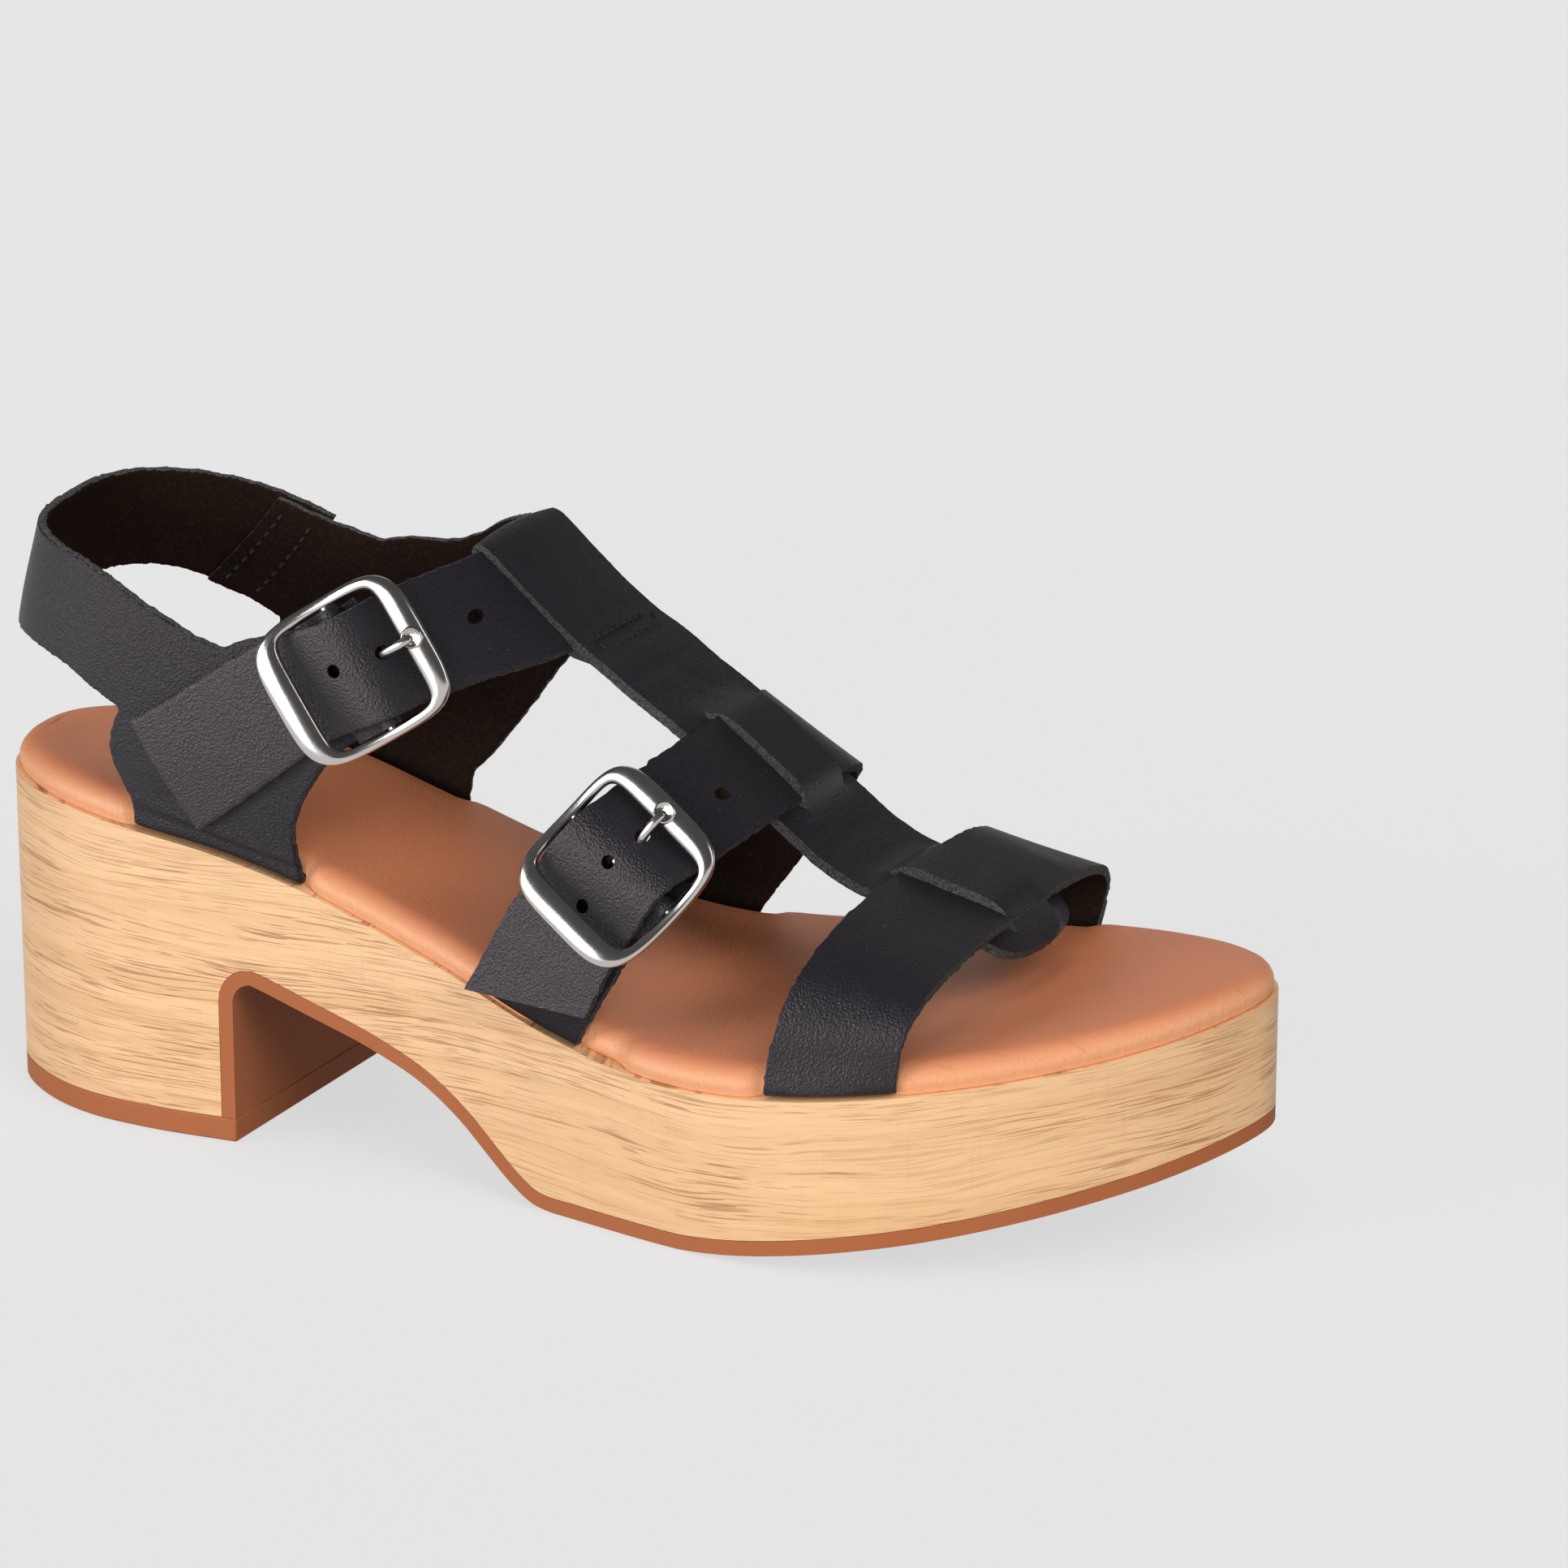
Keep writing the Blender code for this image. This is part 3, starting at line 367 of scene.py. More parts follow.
def sole_chains(inset=0.0, steps=10):
    """Outer and inner chains of outline points from heel end to toe end, moved in by inset."""
    outer = [HEEL_END] + [(row[0], row[1]) for row in OUTLINE] + [TOE_END]
    inner = [(row[0], row[2]) for row in OUTLINE]
    loop = outer + inner[::-1]
    wrap = 3
    dense = resample(loop[-wrap:] + loop + loop[:wrap], steps)[(wrap - 1) * steps:]
    dense = dense[:(len(loop) + 2) * steps]
    tangent = unit(np.gradient(dense, axis=0))
    ring = (dense + np.stack([-tangent[:, 1], tangent[:, 0]], axis=1) * inset)[steps:-steps]
    half = (len(outer) - 1) * steps
    return ring[:half + 1], np.vstack([ring[half:], ring[:1]])[::-1]


print("ball width", round(float(outline_edge(172.0, 1)[0] - outline_edge(172.0, -1)[0]), 1), "mm")

# %% [markdown]
# ## From points to a piece
# Every piece ends as a mesh with smooth shading, and its faces look outward. The helpers below make it and
# tie it to the frame: it rides on the shoe's one body and stands in for its solid, which is hidden.

# %% Making a piece
BLOCK_ANGLE, STRAP_ANGLE, CRISP_ANGLE = 40.0, 55.0, 60.0
STRAP_ROUND = 0.3


def mesh_object(name, points, faces, looks, kinds=None):
    """Mesh in shoe millimetres with its materials, its faces turned outward."""
    mesh = bpy.data.meshes.new(name)
    mesh.from_pydata(place(points).tolist(), [], [tuple(int(k) for k in face) for face in faces])
    for look in looks:
        mesh.materials.append(look)
    if kinds is not None:
        mesh.polygons.foreach_set("material_index", np.asarray(kinds, np.int32))
    bm = bmesh.new()
    bm.from_mesh(mesh)
    bmesh.ops.recalc_face_normals(bm, faces=bm.faces)
    if bm.calc_volume(signed=True) < 0:
        bmesh.ops.reverse_faces(bm, faces=bm.faces)
    bm.to_mesh(mesh)
    bm.free()
    mesh.shade_smooth()
    obj = bpy.data.objects.new(name, mesh)
    scene.collection.objects.link(obj)
    return obj


def settle(obj):
    """Modifiers of an object turned into its mesh."""
    graph = bpy.context.evaluated_depsgraph_get()
    mesh = bpy.data.meshes.new_from_object(obj.evaluated_get(graph))
    obj.modifiers.clear()
    obj.data = mesh
    return obj


def boolean(target, other, operation):
    """Two meshes cut or joined; the second is used up."""
    modifier = target.modifiers.new("cut", "BOOLEAN")
    modifier.operation = operation
    modifier.solver = "EXACT"
    modifier.object = other
    settle(target)
    bpy.data.objects.remove(other)
    return target


def crisp(obj, angle):
    """Smooth shading that keeps edges sharper than an angle."""
    obj.data.shade_smooth()
    obj.data.set_sharp_from_angle(angle=math.radians(angle))
    return obj


def soften(obj, width_mm, angle=BLOCK_ANGLE):
    """Edges rounded as by a file or a sanding belt."""
    modifier = obj.modifiers.new("round", "BEVEL")
    modifier.width = width_mm * MM
    modifier.segments = 2
    modifier.limit_method = "ANGLE"
    modifier.angle_limit = math.radians(angle)
    return crisp(obj, CRISP_ANGLE)


def wear(obj, node):
    """Ties a piece to the shoe: it rides on it and stands in for a solid, which is hidden."""
    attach(obj, "root")
    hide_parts(node)
    print(obj.name, "for", node, len(obj.data.polygons), "faces")
    return obj


def wear_leather(obj, width_mm=STRAP_ROUND):
    """A strap with its cut edges rounded, tied to the upper."""
    return wear(soften(obj, width_mm, STRAP_ANGLE), "upper")


# %% [markdown]
# ## Pale wood
# The block is pale honey wood with a thin oil finish. Its figure runs level round the side: long thin dark
# pores, shorter dark ticks, finer and paler fibres between them, and slow bands of a warmer tone. All of
# them are noise that is stretched along the side and squeezed in height. At the toe the figure rises with
# the toe spring.

# %% Wood look
def pale_wood():
    look = Look("pale_wood", 0.45)
    spot = look.spot()
    x, y, z = (look.add("ShaderNodeSeparateXYZ", None, {0: spot}, axis) for axis in range(3))
    ahead = look.between(x, 25.0, 140.0) * 11.0
    drift = look.noise(look.stretch(spot, (0.012, 0.012, 0.05)), 1.0, 2.0) * 9.0
    level = z - ahead + drift
    grain = look.add("ShaderNodeCombineXYZ", None, {0: x, 1: y, 2: level})
    pores = look.noise(look.stretch(grain, (0.042, 0.042, 2.3)), 1.0, 2.0, 0.55)
    ticks = look.noise(look.stretch(grain, (0.09, 0.09, 4.4)), 1.0, 1.0, 0.5)
    crowd = look.between(look.noise(look.stretch(grain, (0.02, 0.02, 0.16)), 1.0, 2.0), 0.38, 0.66)
    fibre = look.noise(look.stretch(grain, (0.05, 0.05, 5.0)), 1.0, 3.0, 0.65)
    band = look.noise(look.stretch(grain, (0.006, 0.006, 0.22)), 1.0, 3.0, 0.6)
    across = look.noise(look.stretch(spot, (1.3, 1.3, 0.06)), 1.0, 2.0)
    shade = look.mix(tone(0.84, 0.525, 0.275), tone(0.74, 0.435, 0.21), look.between(band, 0.36, 0.68))
    shade = look.mix(shade, tone(0.875, 0.585, 0.34), look.between(fibre, 0.52, 0.75) * 0.55)
    shade = look.mix(shade, tone(0.56, 0.33, 0.15), look.between(across, 0.55, 0.8) * 0.12)
    streak = look.between(pores, 0.575, 0.62) * (0.25 + 0.75 * crowd)
    tick = look.between(ticks, 0.60, 0.65) * (0.25 + 0.75 * crowd)
    shade = look.mix(shade, tone(0.36, 0.135, 0.042), streak * 0.75)
    look.set("Base Color", look.mix(shade, tone(0.33, 0.115, 0.036), tick * 0.75))
    look.set("Roughness", 0.42 + 0.14 * fibre)
    look.bump(fibre * 0.5 - streak - tick, 0.06, 0.5)
    return look.material


wood_look = pale_wood()
print("made", wood_look.name)

# %% [markdown]
# ## Sole block
# The block could be lofted section by section, but the upright face of the heel breast would break the
# sections. Sawing is closer to how it is made: the side view is carried across the shoe as a thick slab,
# and the outline from above, as an upright prism, keeps only what lies inside it. A fine bevel breaks the
# sharp edges.

# %% Sole block
BEHIND, AHEAD, BELOW, ABOVE = -5.0, 251.0, -5.0, 90.0  # reach of board and prism past the sole
BOARD_HALF, BOARD_STRIPS = 60.0, 6
UNDER_RUNS = [(63.0, 102.0, 16), (104.0, 125.0, 18), (152.0, AHEAD, 34)]  # start, end, count of rows
CORNER_TURNS = np.radians([0.0, 15.0, 30.0, 45.0, 60.0, 75.0, 85.0])
WOOD_ROUND, RUBBER_ROUND = 0.45, 0.35


def bridge_rings(count, rings):
    """Quads between rings of equal count, ring after ring."""
    faces = []
    for k in range(rings - 1):
        for i in range(count):
            j = (i + 1) % count
            low = k * count
            faces.append((low + i, low + j, low + count + j, low + count + i))
    return faces


def caps(count, rings=2):
    """Faces that close the first and the last of a row of rings."""
    last = (rings - 1) * count
    return [tuple(range(count)), tuple(range(last + count - 1, last - 1, -1))]


def prism(loop, look):
    """Outline from above as an upright block."""
    points = [(x, y, level) for level in (BELOW, ABOVE) for x, y in loop]
    return mesh_object("outline", points, caps(len(loop)) + bridge_rings(len(loop), 2), [look])


def slab(name, under, over, look):
    """Side view carried across the shoe; its underside leans with the skewed heel breast."""
    section = [tuple(p) for p in under] + [tuple(p) for p in over]
    hinge = float(outline_edge(BREAST_X, -1)[0])
    points = []
    for y in np.linspace(-BOARD_HALF, BOARD_HALF, BOARD_STRIPS + 1):
        for i, (x, z) in enumerate(section):
            lean = np.interp(x, BREAST_STOPS, (0.0, 1.0, 1.0, 0.0)) if i < len(under) else 0.0
            points.append((x + BREAST_SKEW * (y - hinge) * lean, y, z))
    count, rings = len(section), BOARD_STRIPS + 1
    return mesh_object(name, points, caps(count, rings) + bridge_rings(count, rings), [look])


def sawn(name, under, over, look):
    """Side view carried across and kept only inside the outline from above."""
    return boolean(slab(name, under, over, look), prism(sole_loop, look), "INTERSECT")


def under_line(depth, foot):
    """Underside from the heel breast at height foot to beyond the toe, set into the sole by depth."""
    turn = np.column_stack([BREAST_X + BREAST_CORNER * (1 - np.cos(CORNER_TURNS)),
                            BREAST_TOP - BREAST_CORNER * (1 - np.sin(CORNER_TURNS))])
    xs = np.concatenate([np.linspace(*stretch) for stretch in UNDER_RUNS])
    arch = np.column_stack([xs, np.maximum(column(UNDER_LINE, xs), 0.0)])
    line = np.vstack([[(BREAST_X, foot)], turn, arch])
    tangent = np.gradient(line, axis=0)
    tangent[:2] = (0.0, 1.0)
    tangent = unit(tangent)
    return line + np.stack([-tangent[:, 1], tangent[:, 0]], axis=1) * depth


chains = sole_chains()
sole_loop = np.vstack([chains[0], chains[1][-2:0:-1]])
top_xs = np.linspace(AHEAD, BEHIND, 90)
seat_height = HEEL_PIECE + GAP / 3
block_under = np.vstack([[(BEHIND, seat_height)], under_line(RUBBER + GAP / 3, seat_height)])
block = sawn("wood_block", block_under, np.column_stack([top_xs, wood_top(top_xs)]), wood_look)
wear(soften(block, WOOD_ROUND), "sole_block")

# %% [markdown]
# ## Brown sheet rubber
# The rubber is a matt reddish brown, smooth from the mould, with faint flow clouds and very fine specks. It
# is one sheet from the toe to the top of the heel breast, and a thicker piece under the heel, with a seam
# between them.

# %% Rubber look and pieces
def sheet_rubber():
    look = Look("brown_rubber", 0.55, Specular_IOR_Level=0.15)
    spot = look.spot()
    cloud = look.noise(spot, 0.06, 3.0)
    speck = look.noise(spot, 2.2, 2.0, 0.6)
    shade = look.mix(tone(0.37, 0.114, 0.043), tone(0.42, 0.134, 0.052), cloud)
    look.set("Base Color", look.mix(shade, tone(0.28, 0.088, 0.036), look.between(speck, 0.6, 0.78) * 0.4))
    look.set("Roughness", 0.5 + 0.18 * speck)
    look.bump(speck, 0.05, 0.4)
    return look.material


rubber_look = sheet_rubber()
sheet = np.vstack([under_line(0.0, seat_height), under_line(RUBBER, seat_height)[::-1]])
outsole = sawn("rubber_outsole", sheet, [], rubber_look)
wear(soften(outsole, RUBBER_ROUND), "outsole")
heel = [(BEHIND, 0.0), (BREAST_X, 0.0), (BREAST_X, HEEL_PIECE), (BEHIND, HEEL_PIECE)]
heel_rubber = sawn("heel_rubber", heel, [], rubber_look)
wear(soften(heel_rubber, RUBBER_ROUND), "heel_top_piece")

# %% [markdown]
# ## Tan insole leather
# The footbed is soft tan leather over foam. On top it is smooth, with a fine grain and a cloudy tan; where
# it rolls over the edge it is stretched, paler and finely wrinkled across the roll. A mask from the height
# of the surface over the wood would have to know the sole's curve, so the mesh carries it as a value on its
# points.

# %% Tan leather look
def tan_leather():
    look = Look("tan_leather", 0.5, Specular_IOR_Level=0.3)
    spot = look.spot()
    roll = look.add("ShaderNodeAttribute", {"attribute_name": "roll"}, None, "Fac")
    grain = look.cells(spot, 1.5, "SMOOTH_F1")
    fine = look.noise(spot, 2.2, 3.0, 0.6)
    cloud = look.noise(spot, 0.045, 4.0, 0.55)
    wrinkle = look.noise(look.stretch(spot, (1.0, 0.35, 0.18)), 1.0, 3.0, 0.6)
    scuff = look.between(look.noise(look.stretch(spot, (0.10, 0.55, 0.2)), 1.0, 2.0), 0.66, 0.72)
    shade = look.mix(tone(0.530, 0.179, 0.082), tone(0.605, 0.213, 0.103), cloud)
    shade = look.mix(shade, tone(0.78, 0.365, 0.185), roll * 0.9)
    shade = look.mix(shade, tone(0.43, 0.165, 0.074), look.between(fine, 0.5, 0.8) * 0.35)
    look.set("Base Color", look.mix(shade, tone(0.44, 0.165, 0.075), scuff * 0.25))
    look.set("Roughness", 0.44 + 0.16 * fine)
    look.bump(grain * 0.6 + fine * 0.6 + wrinkle * (0.6 + 1.2 * roll) + cloud * 0.8 - scuff * 0.3, 0.22, 0.6)
    return look.material


tan_look = tan_leather()
print("made", tan_look.name)

# %% [markdown]
# ## Padded insole
# Foam under leather gives a rolled edge and a slightly crowned top, pressed down where heel and ball bear
# on it. The rolled edge is a row of rings that follow the outline; the top is a grid strung from the outer
# to the inner ring. Each strap dips into the roll where its foot goes under the insole, so the roll is
# pinched in at those places.

# %% Insole
INSOLE_INSET, INSOLE_THICK, INSOLE_CELLS, INSOLE_LIFT = 0.8, 5.6, 40, 0.1
PINCH_REACH, PINCH_DEEP, PINCH_SINK = 2.2, 1.9, 0.2
CROWN, CROWN_FULL, CROWN_WIDTH = 0.5, 0.7, 20.0
ROLL_BELOW, ROLL_FADE = 2.5, INSOLE_THICK - 2.7
WELD = 0.00003
ROLL_TURN = np.radians([-20.0, -4.0, 12.0, 28.0, 43.0, 57.0, 69.0, 80.0, 90.0])
ROLL_DEEP, ROLL_LOW = 4.6, 1.65
STRAP_FEET = [  # side, start, end of the strap at the sole
    (-1, 37.0, 70.4), (1, 37.0, 78.5), (-1, 121.5, 137.5), (1, 121.5, 137.5), (-1, 168.5, 190.5),
    (1, 180.5, 200.5),
]
SOFT_SPOTS = [  # place and size of hollows and crowns of the foam: x, y, reach along, reach across, height
    (40.0, 0.0, 34.0, 20.0, -0.9), (172.0, -14.0, 26.0, 20.0, -0.6), (170.0, 22.0, 26.0, 16.0, -0.7),
    (104.0, 12.0, 34.0, 12.0, 0.8), (214.0, 6.0, 22.0, 20.0, -0.4), (146.0, 2.0, 20.0, 14.0, 0.5),
]


def pinch(xs, side):
    """How much the roll is drawn in beside the strap feet, from 0 to 1."""
    share = np.zeros(len(xs))
    for foot_side, start, end in STRAP_FEET:
        if foot_side == side:
            away = np.maximum(np.maximum(start - xs, xs - end), 0.0)
            share = np.maximum(share, np.exp(-(away / PINCH_REACH) ** 2))
    return share


def soft_top(x, y):
    """Rise and fall of the foam at a place on the footbed."""
    height = np.zeros_like(x)
    for cx, cy, rx, ry, rise in SOFT_SPOTS:
        height += rise * np.exp(-((x - cx) / rx) ** 2 - ((y - cy) / ry) ** 2)
    return height


def insole_mesh():
    """Rolled rim, crowned top and flat base of the footbed, with the roll as a value on its points."""
    outer, inner = sole_chains(INSOLE_INSET, 12)
    count, cells = len(outer), INSOLE_CELLS
    rims = {}
    for side, chain in ((-1, outer), (1, inner)):
        rows = []
        tangent = unit(np.gradient(chain, axis=0))
        inward = np.stack([-tangent[:, 1], tangent[:, 0]], axis=1) * -side
        drawn = pinch(chain[:, 0], side)
        for turn in ROLL_TURN:
            across = ROLL_DEEP * (1 - math.cos(turn)) + drawn * PINCH_DEEP
            up = ROLL_LOW + (INSOLE_THICK - ROLL_LOW) * math.sin(turn)
            flat = chain + inward * across[:, None]
            rows.append(np.column_stack([flat, wood_top(flat[:, 0]) + up - PINCH_SINK * drawn]))
        rims[side] = np.array(rows)
    grid = np.concatenate([rims[-1], np.zeros((cells - 1, count, 3)), rims[1][::-1]])
    start, end = rims[-1][-1], rims[1][-1]
    for k in range(1, cells):
        share = k / cells
        flat = start + (end - start) * share
        wide = np.minimum(np.linalg.norm((end - start)[:, :2], axis=1) / CROWN_WIDTH, 1.0)
        edge = math.sin(math.pi * share) ** CROWN_FULL
        crown = CROWN * edge * wide + soft_top(flat[:, 0], flat[:, 1]) * edge
        flat[:, 2] = wood_top(flat[:, 0]) + INSOLE_THICK + crown
        grid[len(ROLL_TURN) + k - 1] = flat
    rows = len(grid)
    points = grid.reshape(-1, 3)
    faces = []
    for r in range(rows - 1):
        for i in range(count - 1):
            a = r * count + i
            faces.append((a, a + 1, a + count + 1, a + count))
    low = len(points)
    ends = np.vstack([grid[0], grid[-1]])
    base = np.column_stack([ends[:, :2], wood_top(ends[:, 0]) + INSOLE_LIFT])
    points = np.vstack([points, base])
    for i in range(count - 1):
        last = (rows - 1) * count
        faces.append((i + 1, i, low + i, low + i + 1))
        faces.append((last + i, last + i + 1, low + count + i + 1, low + count + i))
        faces.append((low + i + 1, low + i, low + count + i, low + count + i + 1))
    obj = mesh_object("padded_insole", points, faces, [tan_look])
    bm = bmesh.new()
    bm.from_mesh(obj.data)
    bmesh.ops.remove_doubles(bm, verts=bm.verts, dist=WELD)
    bmesh.ops.holes_fill(bm, edges=[e for e in bm.edges if e.is_boundary], sides=0)
    bmesh.ops.recalc_face_normals(bm, faces=bm.faces)
    bm.to_mesh(obj.data)
    bm.free()
    places = np.array([v.co for v in obj.data.vertices]) / MM + MIDDLE
    height = places[:, 2] - wood_top(places[:, 0])
    roll = np.clip(1.0 - (height - ROLL_BELOW) / ROLL_FADE, 0.0, 1.0)
    obj.data.attributes.new("roll", "FLOAT", "POINT").data.foreach_set("value", roll.astype(np.float32))
    obj.data.shade_smooth()
    return obj


insole = wear(insole_mesh(), "insole")

# %% [markdown]
# ## A strap from a grid
# A strap is a strip of leather with a grain side, a flesh side and four cut edges. A grid of points in the
# middle of its thickness gives its course; moving the grid out and in along its normal gives the two sides,
# and walls close it. The three kinds of face get three materials. The knife wandered a little and the
# fibres stand up, so the rows along the cut edges are shaken by a tenth of a millimetre with a seeded
# random number.

# %% Strap tools
HALF_LEATHER = 0.95
CELL = 0.9
shake = np.random.default_rng(7)


def normals_of(grid, across=None):
    """Outward direction at each point of a grid; across stands in where its rows are cut apart."""
    along = np.gradient(grid[..., :3], axis=0)
    sideways = np.gradient(grid[..., :3], axis=1) if across is None else across
    return unit(np.cross(along, sideways))


def fray(grid, amount=0.14):
    """Both long edges shaken along the strap's width."""
    for edge, inside in ((0, 1), (-1, -2)):
        out = unit(grid[:, edge, :3] - grid[:, inside, :3])
        wander = np.convolve(shake.normal(0.0, 1.0, len(grid) + 8), np.hanning(9) / 2.0, "valid")
        grid[:, edge, :3] += out * (amount * (shake.normal(0.0, 0.7, len(grid)) + 0.25 * wander))[:, None]
    return grid


def strap(name, grid, lift, half, present=None, across=None):
    """Closed strap about a grid of mid points; lift moves it along its normal."""
    rows, cols = grid.shape[:2]
    normal = normals_of(grid, across)
    lift = np.broadcast_to(np.asarray(lift, float), (rows, cols))
    half = np.broadcast_to(np.asarray(half, float), (rows, cols))
    outer = grid[..., :3] + normal * (lift + half)[..., None]
    inner = grid[..., :3] + normal * (lift - half)[..., None]
    size = rows * cols
    present = np.ones((rows - 1, cols - 1), bool) if present is None else present
    faces, kinds, edges = [], [], {}
    for i, j in zip(*np.nonzero(present)):
        a = int(i * cols + j)
        quad = (a, a + 1, a + cols + 1, a + cols)
        faces += [quad, tuple(size + k for k in quad[::-1])]
        kinds += [GRAIN, FLESH]
        for p, q in zip(quad, quad[1:] + quad[:1]):
            if (q, p) in edges:
                del edges[(q, p)]
            else:
                edges[(p, q)] = True
    faces += [(q, p, size + p, size + q) for p, q in edges]
    kinds += [EDGE] * len(edges)
    points = np.vstack([outer.reshape(-1, 3), inner.reshape(-1, 3)])
    used = np.unique(np.concatenate([np.asarray(f) for f in faces]))
    order = np.full(len(points), -1)
    order[used] = np.arange(len(used))
    return mesh_object(name, points[used], [tuple(order[list(f)]) for f in faces], LEATHER, kinds)


def outward(grid, centre):
    """The grid with its normal turned away from a centre inside the shoe."""
    facing = (normals_of(grid) * (grid[..., :3] - np.asarray(centre))).sum()
    return grid if facing > 0 else grid[:, ::-1]


print("leather", 2 * HALF_LEATHER, "mm thick, cells of", CELL, "mm")

# %% [markdown]
# ## Creases one by one
# Leather that is bent every day keeps soft troughs and ridges. Each row of the table is one of them: its
# middle, the way it runs, how far it reaches along and across, and its depth. The strap's grid is moved in
# along its normal by a smooth hump of that size, so both sides of the leather follow.

# %% Creases
CREASES = [  # strap, x, y, z, run x, y, z, half length, half width, depth in millimetres
    ("toe_band", 184.0, -44.0, 48.0, 1.0, 0.1, 0.2, 9.0, 4.0, 0.35),
    ("toe_band", 180.0, -34.0, 55.0, 0.3, 0.5, 0.8, 6.0, 3.0, -0.25),
    ("toe_band", 190.0, 30.0, 53.0, 1.0, 0.0, 0.2, 9.0, 3.5, 0.4),
    ("toe_band", 199.8, 3.2, 54.2, 0.1, 1.0, 0.0, 6.5, 3.5, 1.3),
    ("instep_strap", 159.3, 2.4, 72.1, 0.1, 1.0, 0.0, 6.5, 3.0, 0.9),
    ("instep_strap", 148.0, -20.0, 78.0, 0.7, 0.1, -0.6, 9.0, 3.0, 0.35),
    ("instep_strap", 150.0, 30.0, 66.0, 0.8, 0.0, -0.5, 10.0, 3.5, 0.45),
    ("ankle_strap", 98.0, 30.0, 90.0, 0.6, 0.1, -0.8, 11.0, 4.0, 0.5),
    ("ankle_strap", 92.0, -30.0, 98.0, 0.4, 0.0, -0.9, 10.0, 2.6, 0.3),
    ("ankle_strap", 72.0, 32.0, 84.0, 0.9, 0.0, -0.3, 13.0, 5.0, -0.5),
    ("outer_quarter", 54.0, -32.0, 70.0, 0.9, 0.0, 0.4, 14.0, 4.0, 0.5),
    ("outer_quarter", 26.0, -28.0, 96.0, 0.2, 0.0, 0.9, 8.0, 3.0, 0.4),
    ("t_strap", 128.0, 0.0, 91.6, 0.1, 1.0, 0.0, 10.0, 1.6, 0.35),
    ("t_strap", 166.0, 0.0, 65.0, 0.1, 1.0, 0.0, 11.0, 2.0, 0.4),
    ("t_strap", 134.0, 8.0, 88.0, 0.8, 0.3, -0.5, 6.0, 1.8, 0.3),
]


def crease_depth(name, points):
    """How far each point is pressed in by the creases of one strap."""
    depth = np.zeros(points.shape[:-1])
    for strap_name, x, y, z, rx, ry, rz, long, wide, deep in CREASES:
        if strap_name == name:
            away = points - np.array((x, y, z))
            run = np.array((rx, ry, rz)) / np.linalg.norm((rx, ry, rz))
            down = away @ run
            beside = np.linalg.norm(away - down[..., None] * run, axis=-1)
            depth += deep * np.exp(-(down / long) ** 2 - (beside / wide) ** 2)
    return depth


print(len(CREASES), "creases")

# %% [markdown]
# ## Toe band and instep strap
# Both are arches from one side of the sole to the other. Across the foot each edge is a squared ellipse,
# fuller than a circle, whose crown, lean and widest points are given in a row; the strap is spanned between
# its rear and front edge. At the sole it turns in under the insole along a short foot.

# %% Arched straps
ARCH_COLUMNS = ("x", "z", "slope", "skew", "outer", "inner", "full", "round", "bow")
TOE_REAR = dict(zip(ARCH_COLUMNS, (178.4, 60.4, 0.20, 0.09, -47.2, 42.6, 2.6, 3.2, 0.0)))
TOE_FRONT = dict(zip(ARCH_COLUMNS, (199.8, 54.2, 0.21, 0.09, -43.4, 42.0, 2.6, 3.2, 0.0)))
INSTEP_REAR = dict(zip(ARCH_COLUMNS, (142.0, 85.0, 0.72, 0.06, -37.4, 33.2, 3.3, 3.3, 1.7)))
INSTEP_FRONT = dict(zip(ARCH_COLUMNS, (159.3, 72.1, 0.72, 0.06, -40.8, 36.8, 3.3, 3.3, 1.7)))
ARCH_CENTRE, ARCH_FOOT, FOOT_LEAN, FOOT_TURN = 2.0, 8.0, 0.75, 1.65
TOES, INSTEP, ANKLE = (188, 0, 40), (130, 0, 40), (60, 0, 85)  # inside the shoe; the grain side faces away
INSTEP_TAB_TOP = -0.54
WALL_INSET, TONGUE, LAP = 1.15, 8.0, 1.95
FOOT = [(5.2, 0.0), (2.5, 0.0), (FOOT_TURN, 0.1), (1.42, 0.5), (1.4, 1.5), (1.4, TONGUE)]  # height, way in


def blend(first, second, share):
    """A row between two rows of an arch."""
    return {key: first[key] + (second[key] - first[key]) * share for key in first}


def arch_low(edge, side):
    """Height at which an arched edge passes into its foot."""
    reach = (edge["outer"] if side < 0 else edge["inner"]) - ARCH_CENTRE
    low = 40.0
    for _ in range(12):
        x = edge["x"] - edge["slope"] * (edge["z"] - low) + edge["skew"] * reach
        low = float(wood_top(x)[0]) + ARCH_FOOT
    return low


def arch_line(edge, shares):
    """Points of an arched edge; a share runs from -1 at the outer side to 1 at the inner side."""
    lows = {side: arch_low(edge, side) for side in (-1, 1)}
    points = []
    for share in shares:
        side = -1 if share < 0 else 1
        c, s = math.cos(abs(share) * math.pi / 2), math.sin(abs(share) * math.pi / 2)
        power = edge["full"] if side < 0 else edge["round"]
        radius = (c ** power + s ** power) ** (-1.0 / power)
        y = ARCH_CENTRE + ((edge["outer"] if side < 0 else edge["inner"]) - ARCH_CENTRE) * radius * s
        z = lows[side] + (edge["z"] - lows[side]) * radius * c
        x = edge["x"] - edge["slope"] * (edge["z"] - z) + edge["skew"] * (y - ARCH_CENTRE)
        bow = edge["bow"] * math.sin(math.pi * radius * c) if side < 0 else 0.0
        points.append((x - bow, y, z))
    return np.array(points)


